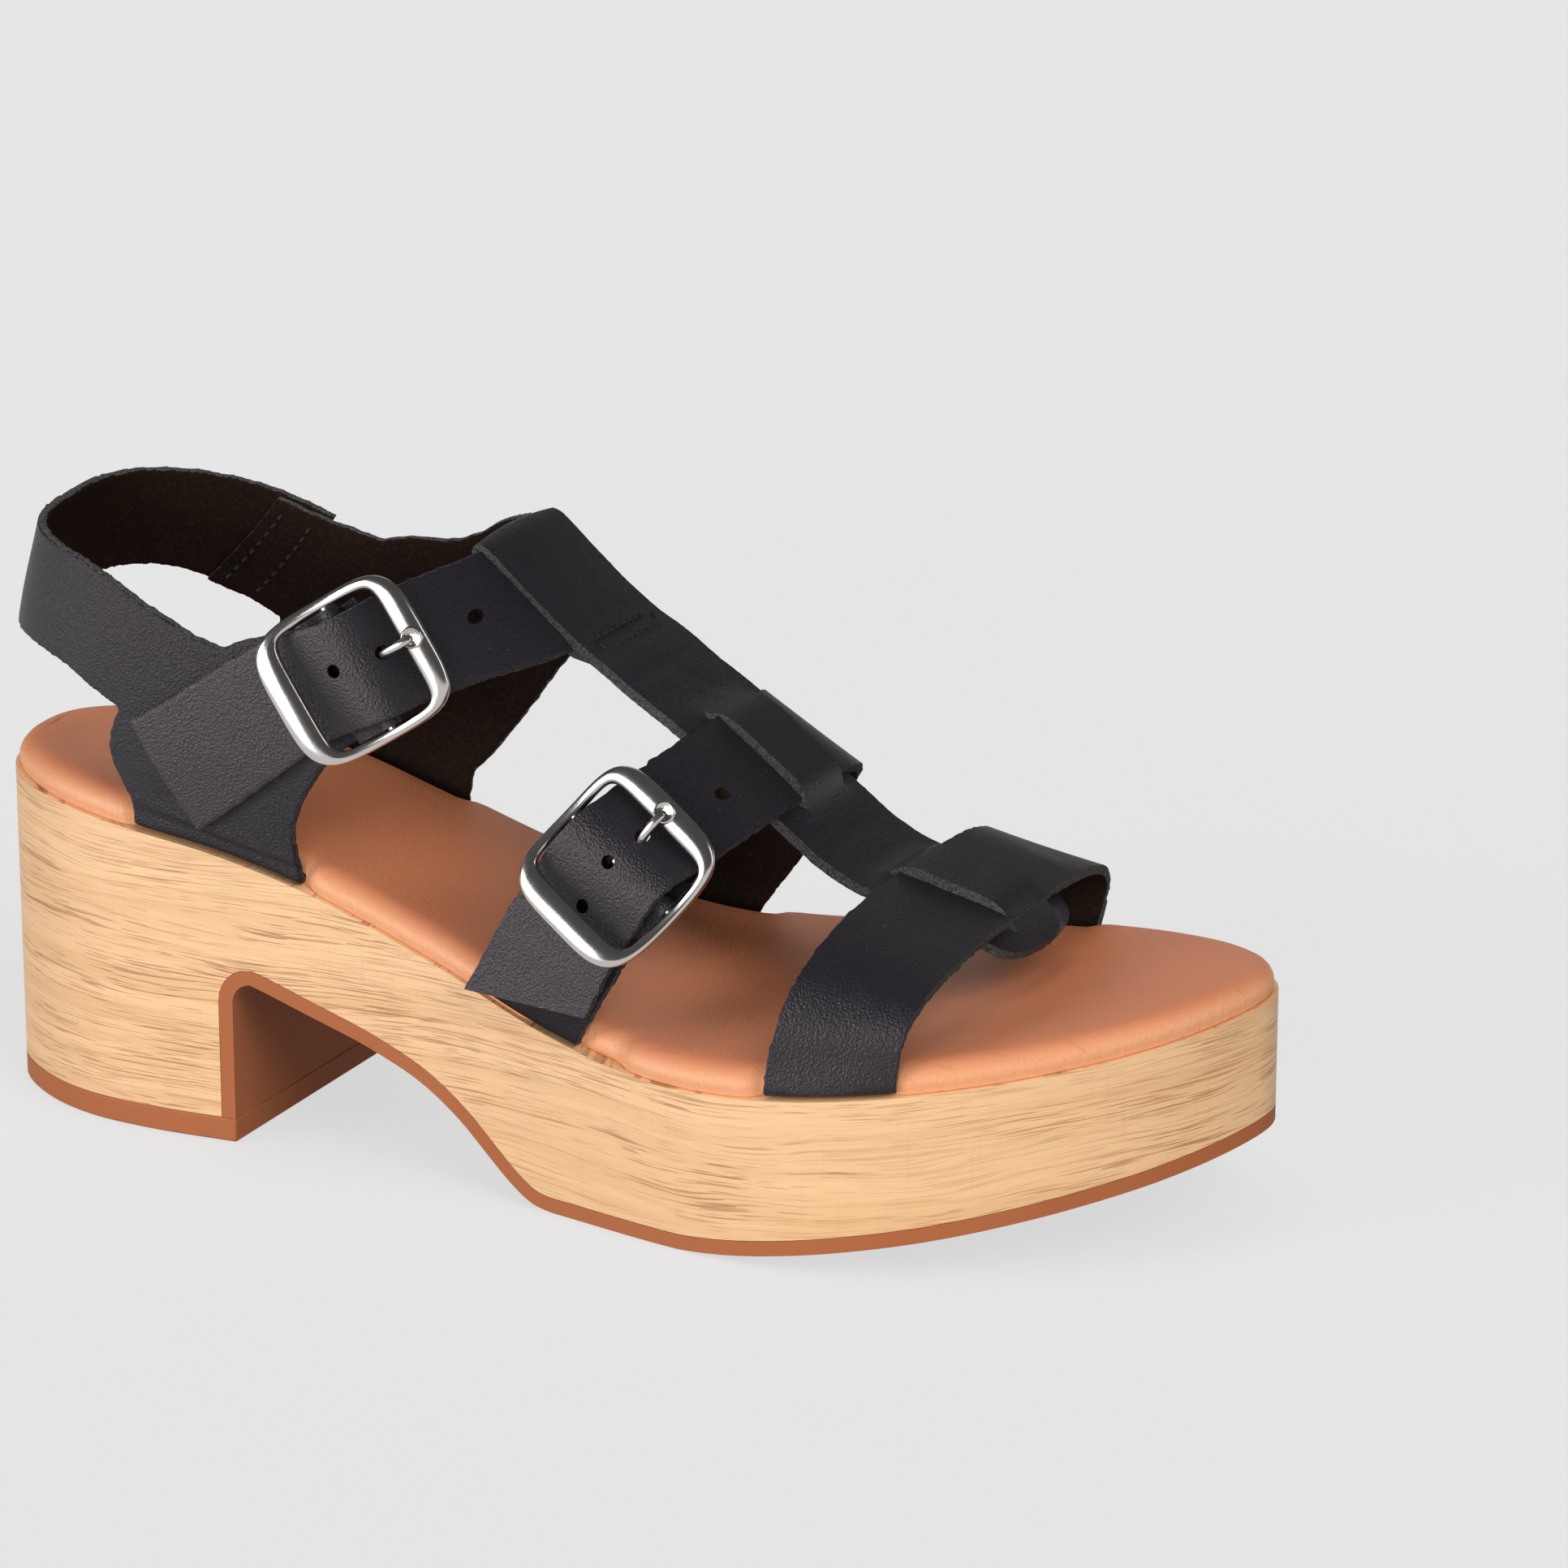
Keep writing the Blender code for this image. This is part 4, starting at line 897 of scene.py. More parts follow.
def foot_line(last, side, lean=0.0):
    """Rows that carry a strap's last row on along its lean, down to the wood and in under the insole."""
    rows = []
    for height, inward in FOOT:
        x = last[:, 0] - lean * (ARCH_FOOT - height)
        wall = outline_edge(x, side) - side * (WALL_INSET + inward)
        share = max(0.0, height - FOOT_TURN) / (ARCH_FOOT - FOOT_TURN)
        rows.append(np.column_stack([x, wall + (last[:, 1] - wall) * share, wood_top(x) + height]))
    return np.array(rows)


def arch_grid(rear, front, shares, outer_foot, inner_foot, cells=6):
    """Grid of an arched strap from its outer to its inner side, with a foot where it has one."""
    edges = [blend(rear, front, share) for share in np.linspace(0.0, 1.0, cells + 1)]
    grid = np.stack([arch_line(edge, shares) for edge in edges], axis=1)
    lean = np.array([edge["slope"] for edge in edges]) * FOOT_LEAN
    parts = [grid]
    if outer_foot:
        parts.insert(0, foot_line(grid[0], -1, lean)[::-1])
    if inner_foot:
        parts.append(foot_line(grid[-1], 1, lean))
    return np.concatenate(parts)


band_grid = arch_grid(TOE_REAR, TOE_FRONT, np.linspace(-1, 1, 41), True, True)
band_grid = outward(refine(band_grid, CELL), TOES)
band = strap("toe_band", fray(band_grid), -crease_depth("toe_band", band_grid), HALF_LEATHER)
wear_leather(band)

# %% [markdown]
# ## Where a buckle sits
# The buckle's centre bar lies across a short tab that comes up from the sole. Its place gives three
# directions: along the strap, across it and out from it. Frame, bar, prong and the swell of the strap over
# the bar are all written in these three, so the same lines serve for both buckles.

# %% Buckle seats
BAR_SWELL, BAR_SWELL_REACH, TAB_PAST_BAR, SEAT_REACH = 4.4, 11.5, 4.5, 6.0


class Seat:
    """Place of a buckle's bar on its strap."""

    def __init__(self, grid, back):
        line = grid[:, grid.shape[1] // 2, :3]
        run = run_along(line)
        middle = run[-1] - back
        at = [middle - SEAT_REACH, middle, middle + back]
        low, self.centre, high = np.array([np.interp(at, run, line[:, k]) for k in range(3)]).T
        row = int(np.argmin(np.abs(run - middle)))
        self.along = (high - low) / np.linalg.norm(high - low)
        out = np.cross(self.along, grid[row, 0, :3] - grid[row, -1, :3])
        self.out = out / np.linalg.norm(out) * (-1.0 if out[1] > 0 else 1.0)
        self.across = np.cross(self.out, self.along)

    def points(self, rows):
        """Shoe points from rows of distance along, across and out."""
        return self.centre + np.asarray(rows, float) @ np.array([self.along, self.across, self.out])

    def swell(self, grid):
        """Rise of the strap over the bar."""
        line = grid[:, grid.shape[1] // 2, :3]
        away = np.abs((line - self.centre) @ self.along)
        near = np.linalg.norm(line - self.centre, axis=1) < 3 * BAR_SWELL_REACH
        wave = (1.0 - np.minimum(away / BAR_SWELL_REACH, 1.0) ** 2) ** 2
        return BAR_SWELL * np.where(near, wave, 0.0)[:, None]


print("seat of a buckle ready")

# %% [markdown]
# ## Instep strap and its tab
# The instep strap comes over the foot from the inner side, goes under the frame's upper bar, over the
# centre bar and under the lower bar, and ends in a straight cut on the outer side. The tab under it comes
# up from the sole and ends just past the bar.

# %% Instep strap
FREE_END_LEVEL = (41.0, 40.0)  # height of the cut at the rear and at the front edge
FREE_START, FREE_BOW, FREE_SLOPE = -0.95, 3.2, 0.58
LAP_FADE = (-0.42, -0.20)


def free_end(grid):
    """Row that carries the instep strap's free end straight down to its cut."""
    first = grid[0]
    levels = np.linspace(FREE_END_LEVEL[0], FREE_END_LEVEL[1], len(first))
    drop = first[:, 2] - levels
    return np.column_stack([first[:, 0] - FREE_SLOPE * drop, first[:, 1], levels])[None]


tab_grid = arch_grid(INSTEP_REAR, INSTEP_FRONT, np.linspace(-1.0, INSTEP_TAB_TOP, 14), True, False)
tab_grid = outward(refine(tab_grid, CELL), INSTEP)
instep_seat = Seat(tab_grid, TAB_PAST_BAR)
tab = strap("instep_tab", fray(tab_grid), 0.0, HALF_LEATHER)
tab.data.materials[GRAIN] = tab_grain
wear_leather(tab)

shares = np.linspace(FREE_START, 1.0, 61)
grid = arch_grid(dict(INSTEP_REAR, bow=FREE_BOW), dict(INSTEP_FRONT, bow=FREE_BOW), shares, False, True)
lift = np.concatenate([[LAP], np.interp(shares, LAP_FADE, (LAP, 0.0)), np.zeros(len(FOOT))])
grid = np.concatenate([free_end(grid), grid])
grid = np.dstack([grid, np.broadcast_to(lift[:, None], grid.shape[:2])])
instep_grid = outward(refine(grid, CELL), INSTEP)
instep_lift = instep_grid[..., 3] + instep_seat.swell(instep_grid)
instep_lift = instep_lift - crease_depth("instep_strap", instep_grid[..., :3])
instep = strap("instep_strap", fray(instep_grid), instep_lift, HALF_LEATHER)

# %% [markdown]
# ## Quarters, ankle strap and heel strap
# Round the ankle all leather lies on one upright oval that leans with the leg. Each strap is a short table
# of its two edges on that oval, row by row along its course. The outer quarter and the heel strap are one
# cut piece, and so are the inner quarter, the ankle strap and the tail to which the heel strap is sewn.
# Such a forked piece can't be one grid, so its two arms are joined by a fine voxel remesh, which also
# rounds the cut edges as wear does.

# %% Ankle oval
OVALS = [  # height, back, front, half width
    (50.0, 3.0, 169.3, 28.4), (62.0, 3.2, 155.7, 30.2), (80.0, 3.6, 135.4, 32.4), (96.4, 6.6, 116.8, 32.8),
    (111.1, 10.6, 100.1, 31.6), (118.0, 12.4, 92.2, 30.6),
]
OVAL_FULL, FRONT_SHIFT, FRONT_SKEW = 3.0, 5.5, 0.10
FRONT, BACK = 200.0, -20.0


def oval(turn, z):
    """Point of the ankle oval; the turn is 0 at the front, 90 at the inner side and 180 at the back."""
    table = np.asarray(OVALS)
    back_x, front_x, half = hermite(table[:, 0], table[:, 1:], np.atleast_1d(z))[0]
    c, s = math.cos(math.radians(turn)), math.sin(math.radians(turn))
    radius = (abs(c) ** OVAL_FULL + abs(s) ** OVAL_FULL) ** (-1.0 / OVAL_FULL)
    ahead = max(0.0, c) ** 2
    y = half * radius * s + FRONT_SHIFT * ahead
    return ((front_x + back_x) / 2 + (front_x - back_x) / 2 * radius * c + FRONT_SKEW * y * ahead, y, z)


def turn_at(x, z, side):
    """Turn round the ankle oval at which its side passes x."""
    low, high = 0.0, 180.0
    for _ in range(26):
        middle = (low + high) / 2
        low, high = (middle, high) if oval(side * middle, z)[0] > x else (low, middle)
    return side * middle


def oval_grid(rows, foot_side=0, steps=5, cells=6):
    """Dense grid of a strap on the oval, with its lift as a fourth value, and a foot where it has one."""
    edges = np.array([(turn_at(x0, z0, side), z0, turn_at(x1, z1, side), z1, lift)
                      for side, x0, z0, x1, z1, lift in rows])
    for k in (0, 2):
        edges[:, k] = np.degrees(np.unwrap(np.radians(edges[:, k])))
    dense = resample(edges, steps)
    places = np.linspace(0.0, 1.0, cells + 1)
    turns = dense[:, :1] + (dense[:, 2:3] - dense[:, :1]) * places
    heights = dense[:, 1:2] + (dense[:, 3:4] - dense[:, 1:2]) * places
    grid = np.array([[oval(t, z) for t, z in zip(ts, zs)] for ts, zs in zip(turns, heights)])
    lift = dense[:, 4]
    if foot_side:
        foot = foot_line(grid[0], foot_side)[::-1]
        grid = np.concatenate([foot, grid])
        lift = np.concatenate([np.zeros(len(foot)), lift])
    grid = np.dstack([grid, np.broadcast_to(lift[:, None], grid.shape[:2])])
    return outward(refine(grid, CELL), ANKLE)


print("oval at the top:", [tuple(round(v, 1) for v in oval(t, 111.1)) for t in (0, 90, 180)])

# %% Strap tables
ANKLE_STRAP = [  # side, front or lower edge x and z, rear or upper edge x and z, lift
    (1, 78.5, 57.0, 37.0, 65.0, 0.0), (1, 83.5, 62.5, 36.0, 76.0, 0.0), (1, 89.5, 70.5, 44.0, 93.0, 0.0),
    (1, 95.5, 79.0, 61.0, 100.6, 0.0), (1, 101.0, 86.0, 75.0, 102.0, 0.0),
    (1, 107.5, 92.8, 88.0, 108.4, 0.0), (-1, FRONT, 96.4, FRONT, 111.1, 0.0),
    (-1, 109.0, 95.0, 96.0, 112.2, 0.3), (-1, 101.0, 92.4, 88.5, 110.0, 1.2),
    (-1, 92.4, 89.0, 80.6, 105.4, LAP), (-1, 78.8, 82.3, 65.8, 99.4, LAP),
    (-1, 65.6, 72.3, 53.1, 91.0, LAP), (-1, 51.5, 61.8, 39.2, 81.8, LAP),
]
OUTER_QUARTER = [
    (-1, 70.4, 57.0, 36.5, 65.0, 0.0), (-1, 70.2, 63.5, 33.0, 75.0, 0.0), (-1, 73.3, 70.8, 40.0, 88.0, 0.0),
    (-1, 79.0, 78.6, 60.0, 98.4, 0.0), (-1, 86.5, 84.6, 73.4, 102.6, 0.0), (-1, 94.9, 90.0, 82.1, 108.4, 0.0),
]
HEEL_STRAP = [
    (-1, 52.0, 73.0, 62.0, 96.4, 0.0), (-1, 42.0, 79.5, 52.5, 98.9, 0.0), (-1, 31.0, 85.6, 43.0, 103.3, 0.0),
    (-1, 20.0, 90.6, 28.0, 110.0, 0.0), (1, BACK, 93.0, BACK, 113.4, 0.0), (1, 15.0, 92.4, 22.0, 111.2, 0.8),
    (1, 24.0, 89.3, 36.0, 107.6, LAP), (1, 34.0, 84.8, 48.5, 103.0, LAP),
]
INNER_TAIL = [
    (1, 54.0, 73.0, 66.0, 98.0, 0.0), (1, 44.0, 79.0, 57.0, 100.6, 0.0), (1, 34.0, 84.8, 48.0, 102.8, 0.0),
    (1, 23.5, 89.4, 38.0, 106.6, 0.0),
]
ankle_grid = oval_grid(ANKLE_STRAP, 1)
quarter_grid = oval_grid(OUTER_QUARTER, -1)
heel_grid = oval_grid(HEEL_STRAP)
tail_grid = oval_grid(INNER_TAIL)
ankle_seat = Seat(quarter_grid, TAB_PAST_BAR)
print("rows and columns:", [grid.shape[:2] for grid in (ankle_grid, quarter_grid, heel_grid, tail_grid)])

# %% Forked pieces
VOXEL, SMOOTH_SHARE, SMOOTH_TIMES = 0.45, 0.5, 3
LEG_LEAN = 0.75
FOOT_ZONE, FOOT_LIMIT, SIDE_LIMIT = 9.0, 0.1, 0.6


def oval_normal(points):
    """Outward direction of the ankle oval near points, for telling grain side, flesh side and edge apart."""
    table = np.asarray(OVALS)
    z = np.clip(points[:, 2], table[0, 0], table[-1, 0])
    back_x, front_x, half = hermite(table[:, 0], table[:, 1:], z).T
    u = (points[:, 0] - (front_x + back_x) / 2) / ((front_x - back_x) / 2)
    ahead = np.clip(u, 0.0, 1.0) ** 2
    v = (points[:, 1] - FRONT_SHIFT * ahead) / half
    lean = np.where(u > 0, LEG_LEAN * np.clip(u, 0.0, 1.0) ** 3, 0.0)
    normal = np.column_stack([np.sign(u) * np.abs(u) ** 2 / (front_x - back_x) * 2,
                              np.sign(v) * v ** 2 / half, np.zeros(len(u))])
    normal = unit(normal)
    normal[:, 2] = lean
    return unit(normal)


def forked(name, arms):
    """Two arms of one cut piece, joined by a voxel remesh, their faces sorted into the three materials."""
    obj = None
    for grid, lift in arms:
        arm = strap(name, fray(grid), lift - crease_depth(name, grid[..., :3]), HALF_LEATHER)
        obj = arm if obj is None else boolean(obj, arm, "UNION")
    remesh = obj.modifiers.new("voxels", "REMESH")
    remesh.mode = "VOXEL"
    remesh.voxel_size = VOXEL * MM
    smooth = obj.modifiers.new("smooth", "SMOOTH")
    smooth.factor = SMOOTH_SHARE
    smooth.iterations = SMOOTH_TIMES
    settle(obj)
    count = len(obj.data.polygons)
    centres, normals = np.empty(count * 3), np.empty(count * 3)
    obj.data.polygons.foreach_get("center", centres)
    obj.data.polygons.foreach_get("normal", normals)
    spots = centres.reshape(-1, 3) / MM + MIDDLE
    facing = (oval_normal(spots) * normals.reshape(-1, 3)).sum(axis=1)
    limit = np.where(spots[:, 2] > wood_top(spots[:, 0]) + FOOT_ZONE, SIDE_LIMIT, FOOT_LIMIT)
    kinds = np.where(facing > limit, GRAIN, np.where(facing < -limit, FLESH, EDGE))
    obj.data.materials.clear()
    for look in LEATHER:
        obj.data.materials.append(look)
    obj.data.polygons.foreach_set("material_index", kinds.astype(np.int32))
    obj.data.shade_smooth()
    return obj


quarter_arms = [(grid, grid[..., 3]) for grid in (quarter_grid, heel_grid)]
outer_quarter = forked("outer_quarter", quarter_arms)
outer_quarter.data.materials[GRAIN] = quarter_grain
wear(outer_quarter, "upper")
ankle_lift = ankle_grid[..., 3] + ankle_seat.swell(ankle_grid)
ankle = forked("ankle_strap", [(ankle_grid, ankle_lift), (tail_grid, tail_grid[..., 3])])
wear(ankle, "upper")

# %% [markdown]
# ## The T-strap
# One strip starts behind the ankle strap, folds over it, runs down the instep and ends in a rounded tab
# before the toe band. Over the instep strap and over the toe band it has two slits: its middle is lifted as
# a bridge, and its margins go under the strap. The grid leaves the slit cells out, and the walls of the
# slits come by themselves.

# %% T-strap
T_HALF, BRIDGE_HALF, SLIT, T_SKEW = 14.2, 7.6, 0.8, 0.10
T_LOOP_HALF, T_LOOP_Y = 13.4, 5.9
T_LOOP = [  # inner leg from its sewn end up to the fold: x, z, fall of its edges
    (127.7, 89.8, 0.6), (124.6, 92.0, 0.7), (121.3, 93.9, 0.8), (118.7, 94.6, 0.8), (116.3, 95.2, 0.9),
    (110.7, 100.2, 0.9), (105.1, 105.1, 0.9), (99.6, 109.9, 0.9), (97.8, 111.4, 0.9), (97.2, 113.0, 0.9),
    (98.4, 114.2, 0.9),
]
T_STRAP = [  # x, z, y, half width, rise of the bridge, fall of the edges
    (100.0, 113.8, 5.9, 13.6, 0.0, 0.9), (106.8, 107.8, 5.9, 13.6, 0.0, 0.9),
    (113.3, 102.1, 5.8, 13.6, 0.0, 0.9), (119.8, 97.0, 5.6, 13.8, 0.0, 0.8),
    (125.0, 93.8, 5.1, T_HALF, 0.0, 0.6), (132.0, 89.0, 4.7, T_HALF, 0.0, 0.6),
    (136.0, 86.5, 4.4, T_HALF, 0.0, 0.5), (139.5, 84.3, 4.1, T_HALF, 1.0, 0.5),
    (142.2, 82.5, 3.9, T_HALF, 3.3, 0.5), (150.5, 76.3, 3.2, T_HALF, 3.9, 0.5),
    (157.0, 71.4, 2.6, T_HALF, 3.6, 0.5), (159.6, 69.5, 2.4, T_HALF, 1.2, 0.5),
    (163.0, 67.0, 2.2, T_HALF, 0.0, 0.5), (168.0, 63.4, 2.0, T_HALF, 0.0, 0.5),
    (173.0, 60.5, 2.0, T_HALF, 0.0, 0.3), (176.4, 59.2, 2.1, T_HALF, 1.0, 0.3),
    (179.2, 58.3, 2.2, T_HALF, 3.3, 0.2), (188.0, 55.7, 2.6, T_HALF, 3.7, 0.2),
    (195.5, 53.2, 3.0, T_HALF, 3.4, 0.2), (198.6, 51.7, 3.2, T_HALF, 1.7, 0.3),
    (201.2, 50.1, 3.5, T_HALF, 0.6, 0.4), (203.9, 48.1, 3.9, T_HALF, 0.1, 0.3),
]
TAB_ROUND, TAB_FULL, TAB_ROWS = 6.4, 2.3, 18
T_STEP, T_ROUND, T_FRAY = 0.75, 0.28, 0.08
MARGIN_LINES, BRIDGE_LINES, MARGIN_RISE, SLIT_FROM = 7, 17, 0.8, 1.0


def t_strap():
    """The whole strip, from its sewn end round the ankle strap and down to its rounded tab."""
    rows = [(x, z, T_LOOP_Y, T_LOOP_HALF, 0.0, fall) for x, z, fall in T_LOOP] + T_STRAP
    dense = resample(rows, 7)
    run = run_along(dense[:, :2])
    tip = run[-1] - TAB_ROUND * np.cos(np.radians(np.linspace(0.0, 88.0, TAB_ROWS)))
    at = np.sort(np.concatenate([np.arange(0.0, run[-1] - TAB_ROUND, T_STEP), tip]))
    dense = np.column_stack([np.interp(at, run, dense[:, k]) for k in range(6)])
    past = np.clip((at - (at[-1] - TAB_ROUND)) / (TAB_ROUND * 1.001), 0.0, 1.0)
    half = dense[:, 3] * (1.0 - past ** TAB_FULL) ** (1.0 / TAB_FULL)
    rise = np.maximum(dense[:, 4], 0.0)
    cut = ((BRIDGE_HALF + SLIT / 2) / T_HALF, (BRIDGE_HALF - SLIT / 2) / T_HALF)
    margin = np.linspace(cut[0], 1.0, MARGIN_LINES)
    bridge = np.linspace(-cut[1], cut[1], BRIDGE_LINES)
    places = np.concatenate([-margin[::-1], bridge, margin])
    lifted = np.abs(places) <= cut[1] + 1e-6
    tangent = unit(np.gradient(dense[:, :2], axis=0))
    grid = np.empty((len(dense), len(places), 3))
    for j, share in enumerate(places):
        inside = MARGIN_RISE * max(0.0, 1.0 - (abs(share) - cut[0]) / (1.0 - cut[0])) ** 2
        lift = rise if lifted[j] else np.minimum(rise, 1.0) * inside
        lift = lift - dense[:, 5] * share ** 2
        grid[:, j, 0] = dense[:, 0] - tangent[:, 1] * lift + T_SKEW * share * half
        grid[:, j, 1] = dense[:, 2] + share * half
        grid[:, j, 2] = dense[:, 1] + tangent[:, 0] * lift
    present = np.ones((len(dense) - 1, len(places) - 1), bool)
    open_rows = (rise > SLIT_FROM)[:-1] & (rise > SLIT_FROM)[1:]
    present[open_rows, MARGIN_LINES - 1] = False
    present[open_rows, -MARGIN_LINES] = False
    lift = -crease_depth("t_strap", grid)
    return strap("t_strap", fray(grid, T_FRAY), lift, HALF_LEATHER, present, (T_SKEW, 1.0, 0.0))


wear_leather(t_strap(), T_ROUND)

# %% [markdown]
# ## Punched holes
# The holes for the prong are punched right through. Painting dark dots would do from far away, but a real
# hole shows its wall and lets the strap below be seen, so each one is cut with a small cylinder. Its wall
# takes the dark flesh-side material in place of the grey cut edge: painted shade that keeps the hole dark.

# %% Holes
HOLE, PUNCH_FROM, PUNCH_TO = 1.25, -9.0, 14.0
ANKLE_HOLES = [(-3.7, 1.6), (5.6, 0.3), (20.6, -2.2)]  # along, across
INSTEP_HOLES = [(-10.6, 0.5), (-1.2, 1.2), (6.2, 0.5), (20.3, -1.2)]


def punch(obj, seat, places):
    """Round holes through a strap, at places along and across its buckle's seat."""
    for along, across in places:
        ring = [(along + HOLE * math.cos(a), across + HOLE * math.sin(a)) for a in circle(20)]
        points = [(x, y, out) for out in (PUNCH_FROM, PUNCH_TO) for x, y in ring]
        faces = bridge_rings(len(ring), 2) + caps(len(ring))
        # The flesh-side material on the punch's faces is painted shade inside the hole.
        pin = mesh_object("punch", seat.points(points), faces, LEATHER, [FLESH] * len(faces))
        boolean(obj, pin, "DIFFERENCE")
    obj.data.shade_smooth()
    return obj


punch(instep, instep_seat, INSTEP_HOLES)
wear_leather(instep)
punch(ankle, ankle_seat, ANKLE_HOLES)
print("holes punched:", len(ANKLE_HOLES) + len(INSTEP_HOLES))

# %% [markdown]
# ## Polished nickel buckles
# The frame is a rounded square of cast metal, polished bright. Its window is nearly square with small
# corners, while its outer edge bows out at both ends, so the end bars are widest in their middle. Each
# point of the ring has a domed section that reaches from the window's edge to the outer edge. Polish leaves
# hair-fine scratches.

# %% Nickel look and frames
def polished_nickel():
    look = Look("polished_nickel", 0.13, Metallic=1.0)
    spot = look.spot()
    hair = look.noise(look.stretch(spot, (0.6, 3.5, 1.2)), 2.0, 2.0, 0.7)
    cloud = look.noise(spot, 0.35, 2.0)
    look.set("Base Color", look.mix(tone(0.58, 0.55, 0.535), tone(0.66, 0.63, 0.61), cloud))
    look.set("Roughness", 0.12 + 0.08 * hair + 0.05 * cloud)
    look.bump(hair + cloud * 0.6, 0.012, 0.5)
    return look.material


nickel_look = polished_nickel()
WINDOW_UP, WINDOW_DOWN, WINDOW_ACROSS, WINDOW_SQUARE = 9.8, 11.3, 12.1, 8.0
OUTER_UP, OUTER_DOWN, OUTER_ACROSS, OUTER_SQUARE = 14.7, 16.7, 14.3, 4.1
BAR_RADIUS, BAR_HEIGHT, BAR_HALF = 1.0, 3.7, 12.4
FRAME_BOW, FRAME_BOW_REACH = 1.5, 12.0
THICK_SIDE, THICK_END, BACK_SHARE, SECTION_FULL, CORNER_PULL = 2.1, 3.0, 0.8, 0.8, 0.14
BUCKLES = [("ankle", ankle_seat), ("instep", instep_seat)]


def metal(name, seat, points, faces):
    """A nickel mesh from rows of distance along, across and out."""
    return mesh_object(name, seat.points(points), faces, [nickel_look])


def rounded(turn, length, width, power):
    """Point of a rounded rectangle in the direction of turn."""
    c, s = math.cos(turn), math.sin(turn)
    radius = (abs(c / length) ** power + abs(s / width) ** power) ** (-1.0 / power)
    return np.array((radius * c, radius * s))


def buckle_frame(name, seat, steps=128, sides=20):
    """Ring of domed sections between the window's edge and the outer edge."""
    points = []
    for step in circle(steps):
        turn = step + CORNER_PULL * math.sin(4 * step)
        up = math.cos(turn) > 0
        inner = rounded(turn, WINDOW_UP if up else WINDOW_DOWN, WINDOW_ACROSS, WINDOW_SQUARE)
        outer = rounded(turn, OUTER_UP if up else OUTER_DOWN, OUTER_ACROSS, OUTER_SQUARE)
        centre, reach = (inner + outer) / 2, (outer - inner) / 2
        ends = abs(math.cos(turn)) ** 2
        thick = THICK_SIDE + (THICK_END - THICK_SIDE) * ends
        lift = BAR_HEIGHT + FRAME_BOW * (centre[0] / FRAME_BOW_REACH) ** 2
        for angle in circle(sides):
            c, s = math.cos(angle), math.sin(angle)
            dome = thick / 2 * (s if s > 0 else BACK_SHARE * s)
            flat = centre + reach * math.copysign(abs(c) ** SECTION_FULL, c)
            points.append((flat[0], flat[1], lift + dome))
    faces = bridge_rings(sides, steps)
    last = (steps - 1) * sides
    faces += [(last + i, last + (i + 1) % sides, (i + 1) % sides, i) for i in range(sides)]
    return metal(name, seat, points, faces)


def rod(path, radii, sides=18):
    """Round bar along a path of seat rows, closed at both ends."""
    path = np.asarray(path, float)
    tangent = unit(np.gradient(path, axis=0))
    first = np.tile((1.0, 0.0, 0.0) if abs(tangent[0, 1]) > 0.5 else (0.0, 1.0, 0.0), (len(path), 1))
    second = np.cross(tangent, first)
    angles = circle(sides)
    rings = [p + r * (np.outer(np.cos(angles), a) + np.outer(np.sin(angles), b))
             for p, r, a, b in zip(path, radii, first, second)]
    return np.vstack(rings), caps(sides, len(rings)) + bridge_rings(sides, len(rings))


def cross_rod(half, radius):
    """Round bar across the strap at the height of the centre bar."""
    return rod([(0.0, -half, BAR_HEIGHT), (0.0, half, BAR_HEIGHT)], [radius] * 2)


def frame_with_bar(name, seat):
    bar = metal("bar", seat, *cross_rod(BAR_HALF, BAR_RADIUS))
    return crisp(boolean(buckle_frame(name, seat), bar, "UNION"), CRISP_ANGLE)


for title, seat in BUCKLES:
    wear(frame_with_bar(title + "_frame", seat), title + "_buckle")

# %% [markdown]
# ## The fold that holds a buckle
# Each tab is turned back round the centre bar and sewn down, with a slot in its middle for the prong. Only
# the ends of this fold show, as dark leather beside the strap. A drop-shaped profile carried across on both
# sides of the slot is enough for that.

# %% Folds
FOLD = [  # along, out
    (-8.0, 0.5), (-5.0, 1.5), (-2.7, 3.3), (-1.4, 4.8), (0.0, 5.4), (1.3, 4.9), (1.75, 3.7), (1.6, 2.2),
    (1.0, 0.5),
]
FOLD_HALF, SLOT_HALF, FOLD_ROUND = 12.0, 1.7, 0.2


def bar_fold(name, seat):
    """The two halves of the leather fold, beside the prong's slot."""
    profile = resample(FOLD, 4)
    count = len(profile)
    points, faces, kinds = [], [], []
    for ends in ((-FOLD_HALF, -SLOT_HALF), (SLOT_HALF, FOLD_HALF)):
        start = len(points)
        points += [(along, across, out) for across in ends for along, out in profile]
        faces += [tuple(start + k for k in face) for face in bridge_rings(count, 2) + caps(count)]
        kinds += [GRAIN] * count + [EDGE] * 2
    return mesh_object(name, seat.points(points), faces, LEATHER, kinds)


for title, seat in BUCKLES:
    wear_leather(bar_fold(title + "_fold", seat), FOLD_ROUND)

# %% [markdown]
# ## Prongs
# The prong's eye turns on the centre bar under the strap. The pin comes up through a hole and lies on the
# upper bar, where its tip sits in a small round cup. Pin, eye and cup are swept and turned shapes joined
# into one.

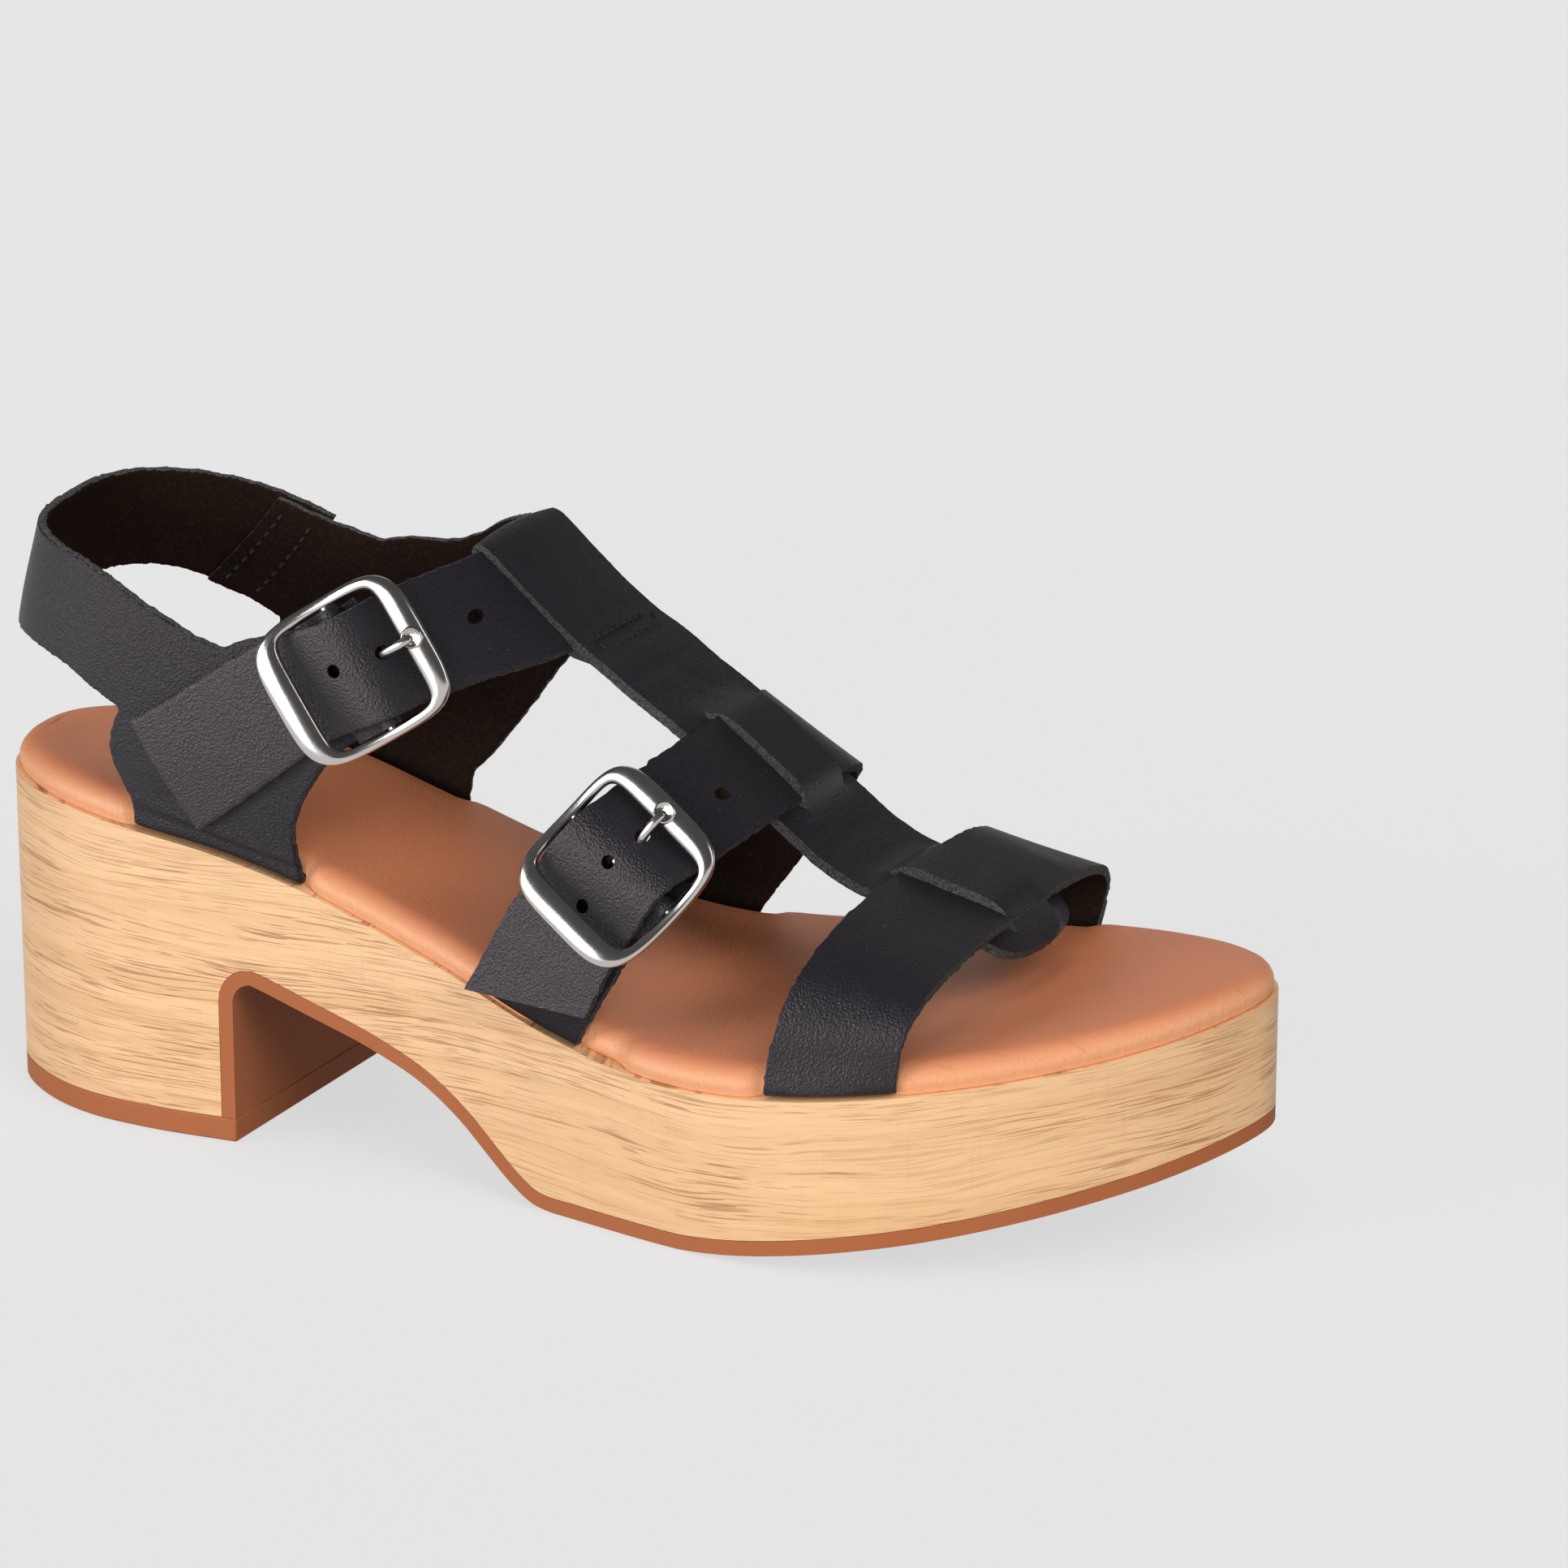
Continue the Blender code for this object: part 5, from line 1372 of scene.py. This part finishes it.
# %% Prong pins
PRONG_PATH = [  # along, out
    (1.4, 3.4), (2.8, 3.0), (4.0, 3.4), (5.0, 4.6), (6.2, 5.9), (7.8, 6.8), (9.6, 7.2), (11.2, 7.1),
    (12.2, 6.9),
]
PRONG_RADIUS, TIP_SHARES, PRONG_ANGLE = 0.85, (0.97, 0.88, 0.7, 0.35), 50.0
EYE_RADIUS, EYE_HALF, BORE_RADIUS = 1.9, 1.2, BAR_RADIUS + 0.1
CUP_AT, CUP_OUT = 12.1, 6.7
CUP = [(2.1, -1.6), (2.1, 0.1), (2.0, 0.45), (1.75, 0.6), (1.5, 0.5), (1.3, 0.3)]  # radius, height


def prong(name, seat):
    """Eye, bent pin and cup of one prong in one mesh."""
    obj = metal(name, seat, *cross_rod(EYE_HALF, EYE_RADIUS))
    dense = resample(PRONG_PATH, 5)
    radii = np.full(len(dense), PRONG_RADIUS)
    radii[-len(TIP_SHARES):] *= TIP_SHARES
    path = np.column_stack([dense[:, 0], np.zeros(len(dense)), dense[:, 1]])
    boolean(obj, metal("pin", seat, *rod(path, radii)), "UNION")
    boolean(obj, metal("bore", seat, *cross_rod(2 * EYE_HALF, BORE_RADIUS)), "DIFFERENCE")
    turns = circle(24)
    cup = [(CUP_AT + r * math.cos(a), r * math.sin(a), CUP_OUT + h) for r, h in CUP for a in turns]
    faces = bridge_rings(len(turns), len(CUP)) + caps(len(turns), len(CUP))
    boolean(obj, metal("cup", seat, cup, faces), "UNION")
    return crisp(obj, PRONG_ANGLE)


for title, seat in BUCKLES:
    wear(prong(title + "_pin", seat), title + "_prong")

# %% [markdown]
# ## Thread
# Two places are sewn: the loop of the T-strap, with a narrow box of black stitches, and the lap where the
# heel strap lies on the inner tail. Each stitch is a short capsule that is a little sunk at its ends. All
# stitches of a seam are joined into one mesh, which is far lighter than an object for each.

# %% Stitches
def thread_look():
    look = Look("black_thread", 0.6, Specular_IOR_Level=0.4)
    spot = look.spot()
    ply = look.noise(look.stretch(spot, (2.0, 2.0, 2.0)), 1.6, 2.0)
    look.set("Base Color", look.mix(tone(0.006, 0.006, 0.008), tone(0.022, 0.022, 0.026), ply))
    look.bump(ply, 0.08, 0.6)
    return look.material


black_thread = thread_look()
STITCH, STITCH_SHARES = 2.3, (0.12, 0.88)
SEAM_START, SEAM_END = 0.08, 0.92
STITCH_RINGS = [  # height over the leather, radius
    (-0.35, 0.12), (0.02, 0.30), (0.12, 0.36), (0.12, 0.36), (0.02, 0.30), (-0.35, 0.12),
]


def stitches(name, lines):
    """Capsules along lines of points, each line given with the normals of the leather under it."""
    points, faces = [], []
    heights, radii = np.array(STITCH_RINGS).T
    turns, rings = circle(8), len(STITCH_RINGS)
    for line, normals in lines:
        run = run_along(line)
        for k in range(max(1, int(run[-1] / STITCH))):
            places = (k + np.linspace(*STITCH_SHARES, rings)) * STITCH
            path = np.column_stack([np.interp(places, run, line[:, c]) for c in range(3)])
            normal = np.column_stack([np.interp(places, run, normals[:, c]) for c in range(3)])
            path = path + normal * heights[:, None]
            forward = (path[-1] - path[0]) / np.linalg.norm(path[-1] - path[0])
            start = len(points)
            for p, n, r in zip(path, normal, radii):
                side = np.cross(forward, n)
                points += [p + r * (math.cos(a) * side + math.sin(a) * n) for a in turns]
            capsule = bridge_rings(len(turns), rings) + caps(len(turns), rings)
            faces += [tuple(start + k for k in face) for face in capsule]
    return mesh_object(name, np.array(points), faces, [black_thread])


def seam_across(grid, row_share, side):
    """Line across a strap at a share of its rows, on its grain (1) or flesh (-1) side, with normals."""
    normal = normals_of(grid) * side
    spots, ups = [], []
    rows, cols = grid.shape[0] - 1, grid.shape[1] - 1
    i = int(round(row_share * rows))
    for share in np.linspace(0.0, 1.0, 40):
        j = int(round((SEAM_START + (SEAM_END - SEAM_START) * share) * cols))
        spots.append(grid[i, j, :3] + normal[i, j] * (grid[i, j, 3] * side + HALF_LEATHER))
        ups.append(normal[i, j])
    return np.array(spots), np.array(ups)


lap_rows = [seam_across(heel_grid, share, 1.0) for share in (0.925, 0.80)]
inside_rows = [seam_across(tail_grid, share, -1.0) for share in (0.72, 0.93)]
wear(stitches("lap_stitches", lap_rows + inside_rows), "upper")

# %% Box of stitches on the loop
BOX_MIDDLE, BOX_AHEAD = np.array((120.6, 96.5)), np.array((0.80, -0.60))
BOX_UP, BOX_Y, BOX_STEPS = (0.60, 0.80), 5.6, 30
BOX_FALL, BOX_FALL_REACH = 0.8, 13.8
BOX_HALF_LONG, BOX_HALF_WIDE = 10.2, 1.5


def box_line(first, second):
    """Line between two corners of the box, with the normal of the T-strap there."""
    spots = []
    for share in np.linspace(0.0, 1.0, BOX_STEPS):
        y, ahead = np.array(first) * (1 - share) + np.array(second) * share
        fall = BOX_FALL * (y / BOX_FALL_REACH) ** 2
        x, z = BOX_MIDDLE + BOX_AHEAD * ahead + np.array(BOX_UP) * (HALF_LEATHER - fall)
        spots.append((x + T_SKEW * y, BOX_Y + y, z))
    return np.array(spots), np.tile((BOX_UP[0], 0.0, BOX_UP[1]), (BOX_STEPS, 1))


corners = [(-BOX_HALF_LONG, -BOX_HALF_WIDE), (BOX_HALF_LONG, -BOX_HALF_WIDE), (BOX_HALF_LONG, BOX_HALF_WIDE),
           (-BOX_HALF_LONG, BOX_HALF_WIDE)]
box_lines = [box_line(a, b) for a, b in zip(corners, corners[1:] + corners[:1])]
wear(stitches("loop_stitches", box_lines), "upper")

# %% [markdown]
# ## Floor and light
# A plain pale floor fills the picture. Wide suns have no falloff, so the floor stays even while their large
# angle keeps the shadows soft. Most of them only light the matt pieces. What the leather and the metal
# mirror is chosen apart from that: a low panel close to the shoe at the front left gives the straps their
# sheen, and a tall one at the right draws a line on the frames. The floor throws no light back up, so the
# shade under the straps stays deep.

# %% Floor
def floor_look():
    look = Look("pale_floor", 0.9, Specular_IOR_Level=0.0)
    speck = look.noise(look.spot(), 0.02, 2.0)
    look.set("Base Color", look.mix(tone(0.150, 0.150, 0.150), tone(0.156, 0.156, 0.156), speck))
    look.set("Emission Color", tone(1.0, 1.0, 1.0))
    look.set("Emission Strength", 0.65)
    return look.material


FLOOR_HALF, FLOOR_LEVEL = 9.0, -0.0002
floor_mesh = bpy.data.meshes.new("floor")
floor_signs = [(-1, -1), (1, -1), (1, 1), (-1, 1)]
floor_corners = [(x * FLOOR_HALF, y * FLOOR_HALF, FLOOR_LEVEL) for x, y in floor_signs]
floor_mesh.from_pydata(floor_corners, [], [(0, 1, 2, 3)])
floor_mesh.materials.append(floor_look())
floor = bpy.data.objects.new("floor", floor_mesh)
scene.collection.objects.link(floor)
floor.visible_diffuse = False
print("floor laid")

# %% Light
SUNS = [  # name, azimuth and elevation it comes from, strength, angle, mirrored in glossy surfaces or not
    ("key", -45.0, 15.0, 1.5, 26.0, True), ("front", 6.0, 3.0, 2.4, 30.0, False),
    ("side", 60.0, 40.0, 1.8, 45.0, False), ("top", -20.0, 84.0, 0.6, 30.0, False),
    ("rear", 200.0, 8.0, 1.3, 40.0, False), ("back", 197.0, 28.0, 0.11, 30.0, True),
]
PANELS = [  # name, azimuth, distance, height of its middle, width, height, power
    ("near_panel", -38.0, 0.36, 0.112, 0.46, 0.22, 1.15), ("right_panel", 95.0, 0.9, 0.45, 0.25, 0.7, 1.2),
]


for name, azimuth, elevation, strength, angle, mirrored in SUNS:
    light = bpy.data.lights.new(name, "SUN")
    light.energy = strength
    light.angle = math.radians(angle)
    sun = bpy.data.objects.new(name, light)
    sun.rotation_euler = towards(azimuth, elevation).to_track_quat("Z", "Y").to_euler()
    sun.visible_glossy = mirrored
    scene.collection.objects.link(sun)
for name, azimuth, distance, level, width, height, power in PANELS:
    light = bpy.data.lights.new(name, "AREA")
    light.shape = "RECTANGLE"
    light.size, light.size_y, light.energy = width, height, power
    panel = bpy.data.objects.new(name, light)
    panel.location = Vector((0.0, 0.0, level)) + towards(azimuth, 0.0) * distance
    panel.rotation_euler = towards(azimuth, 0.0).to_track_quat("Z", "Y").to_euler()
    panel.visible_diffuse = panel.visible_camera = False
    scene.collection.objects.link(panel)
SKY, SKY_STRENGTH = tone(0.80, 0.80, 0.80), 0.11
world = bpy.data.worlds.new("studio")
world.use_nodes = True
sky = world.node_tree.nodes["Background"]
sky.inputs["Color"].default_value = SKY
sky.inputs["Strength"].default_value = SKY_STRENGTH
scene.world = world
scene.view_settings.view_transform = "Standard"
print("suns:", len(SUNS), "panels:", len(PANELS))

# %% [markdown]
# The last line prints that the dressing is done.


print("dressing done")
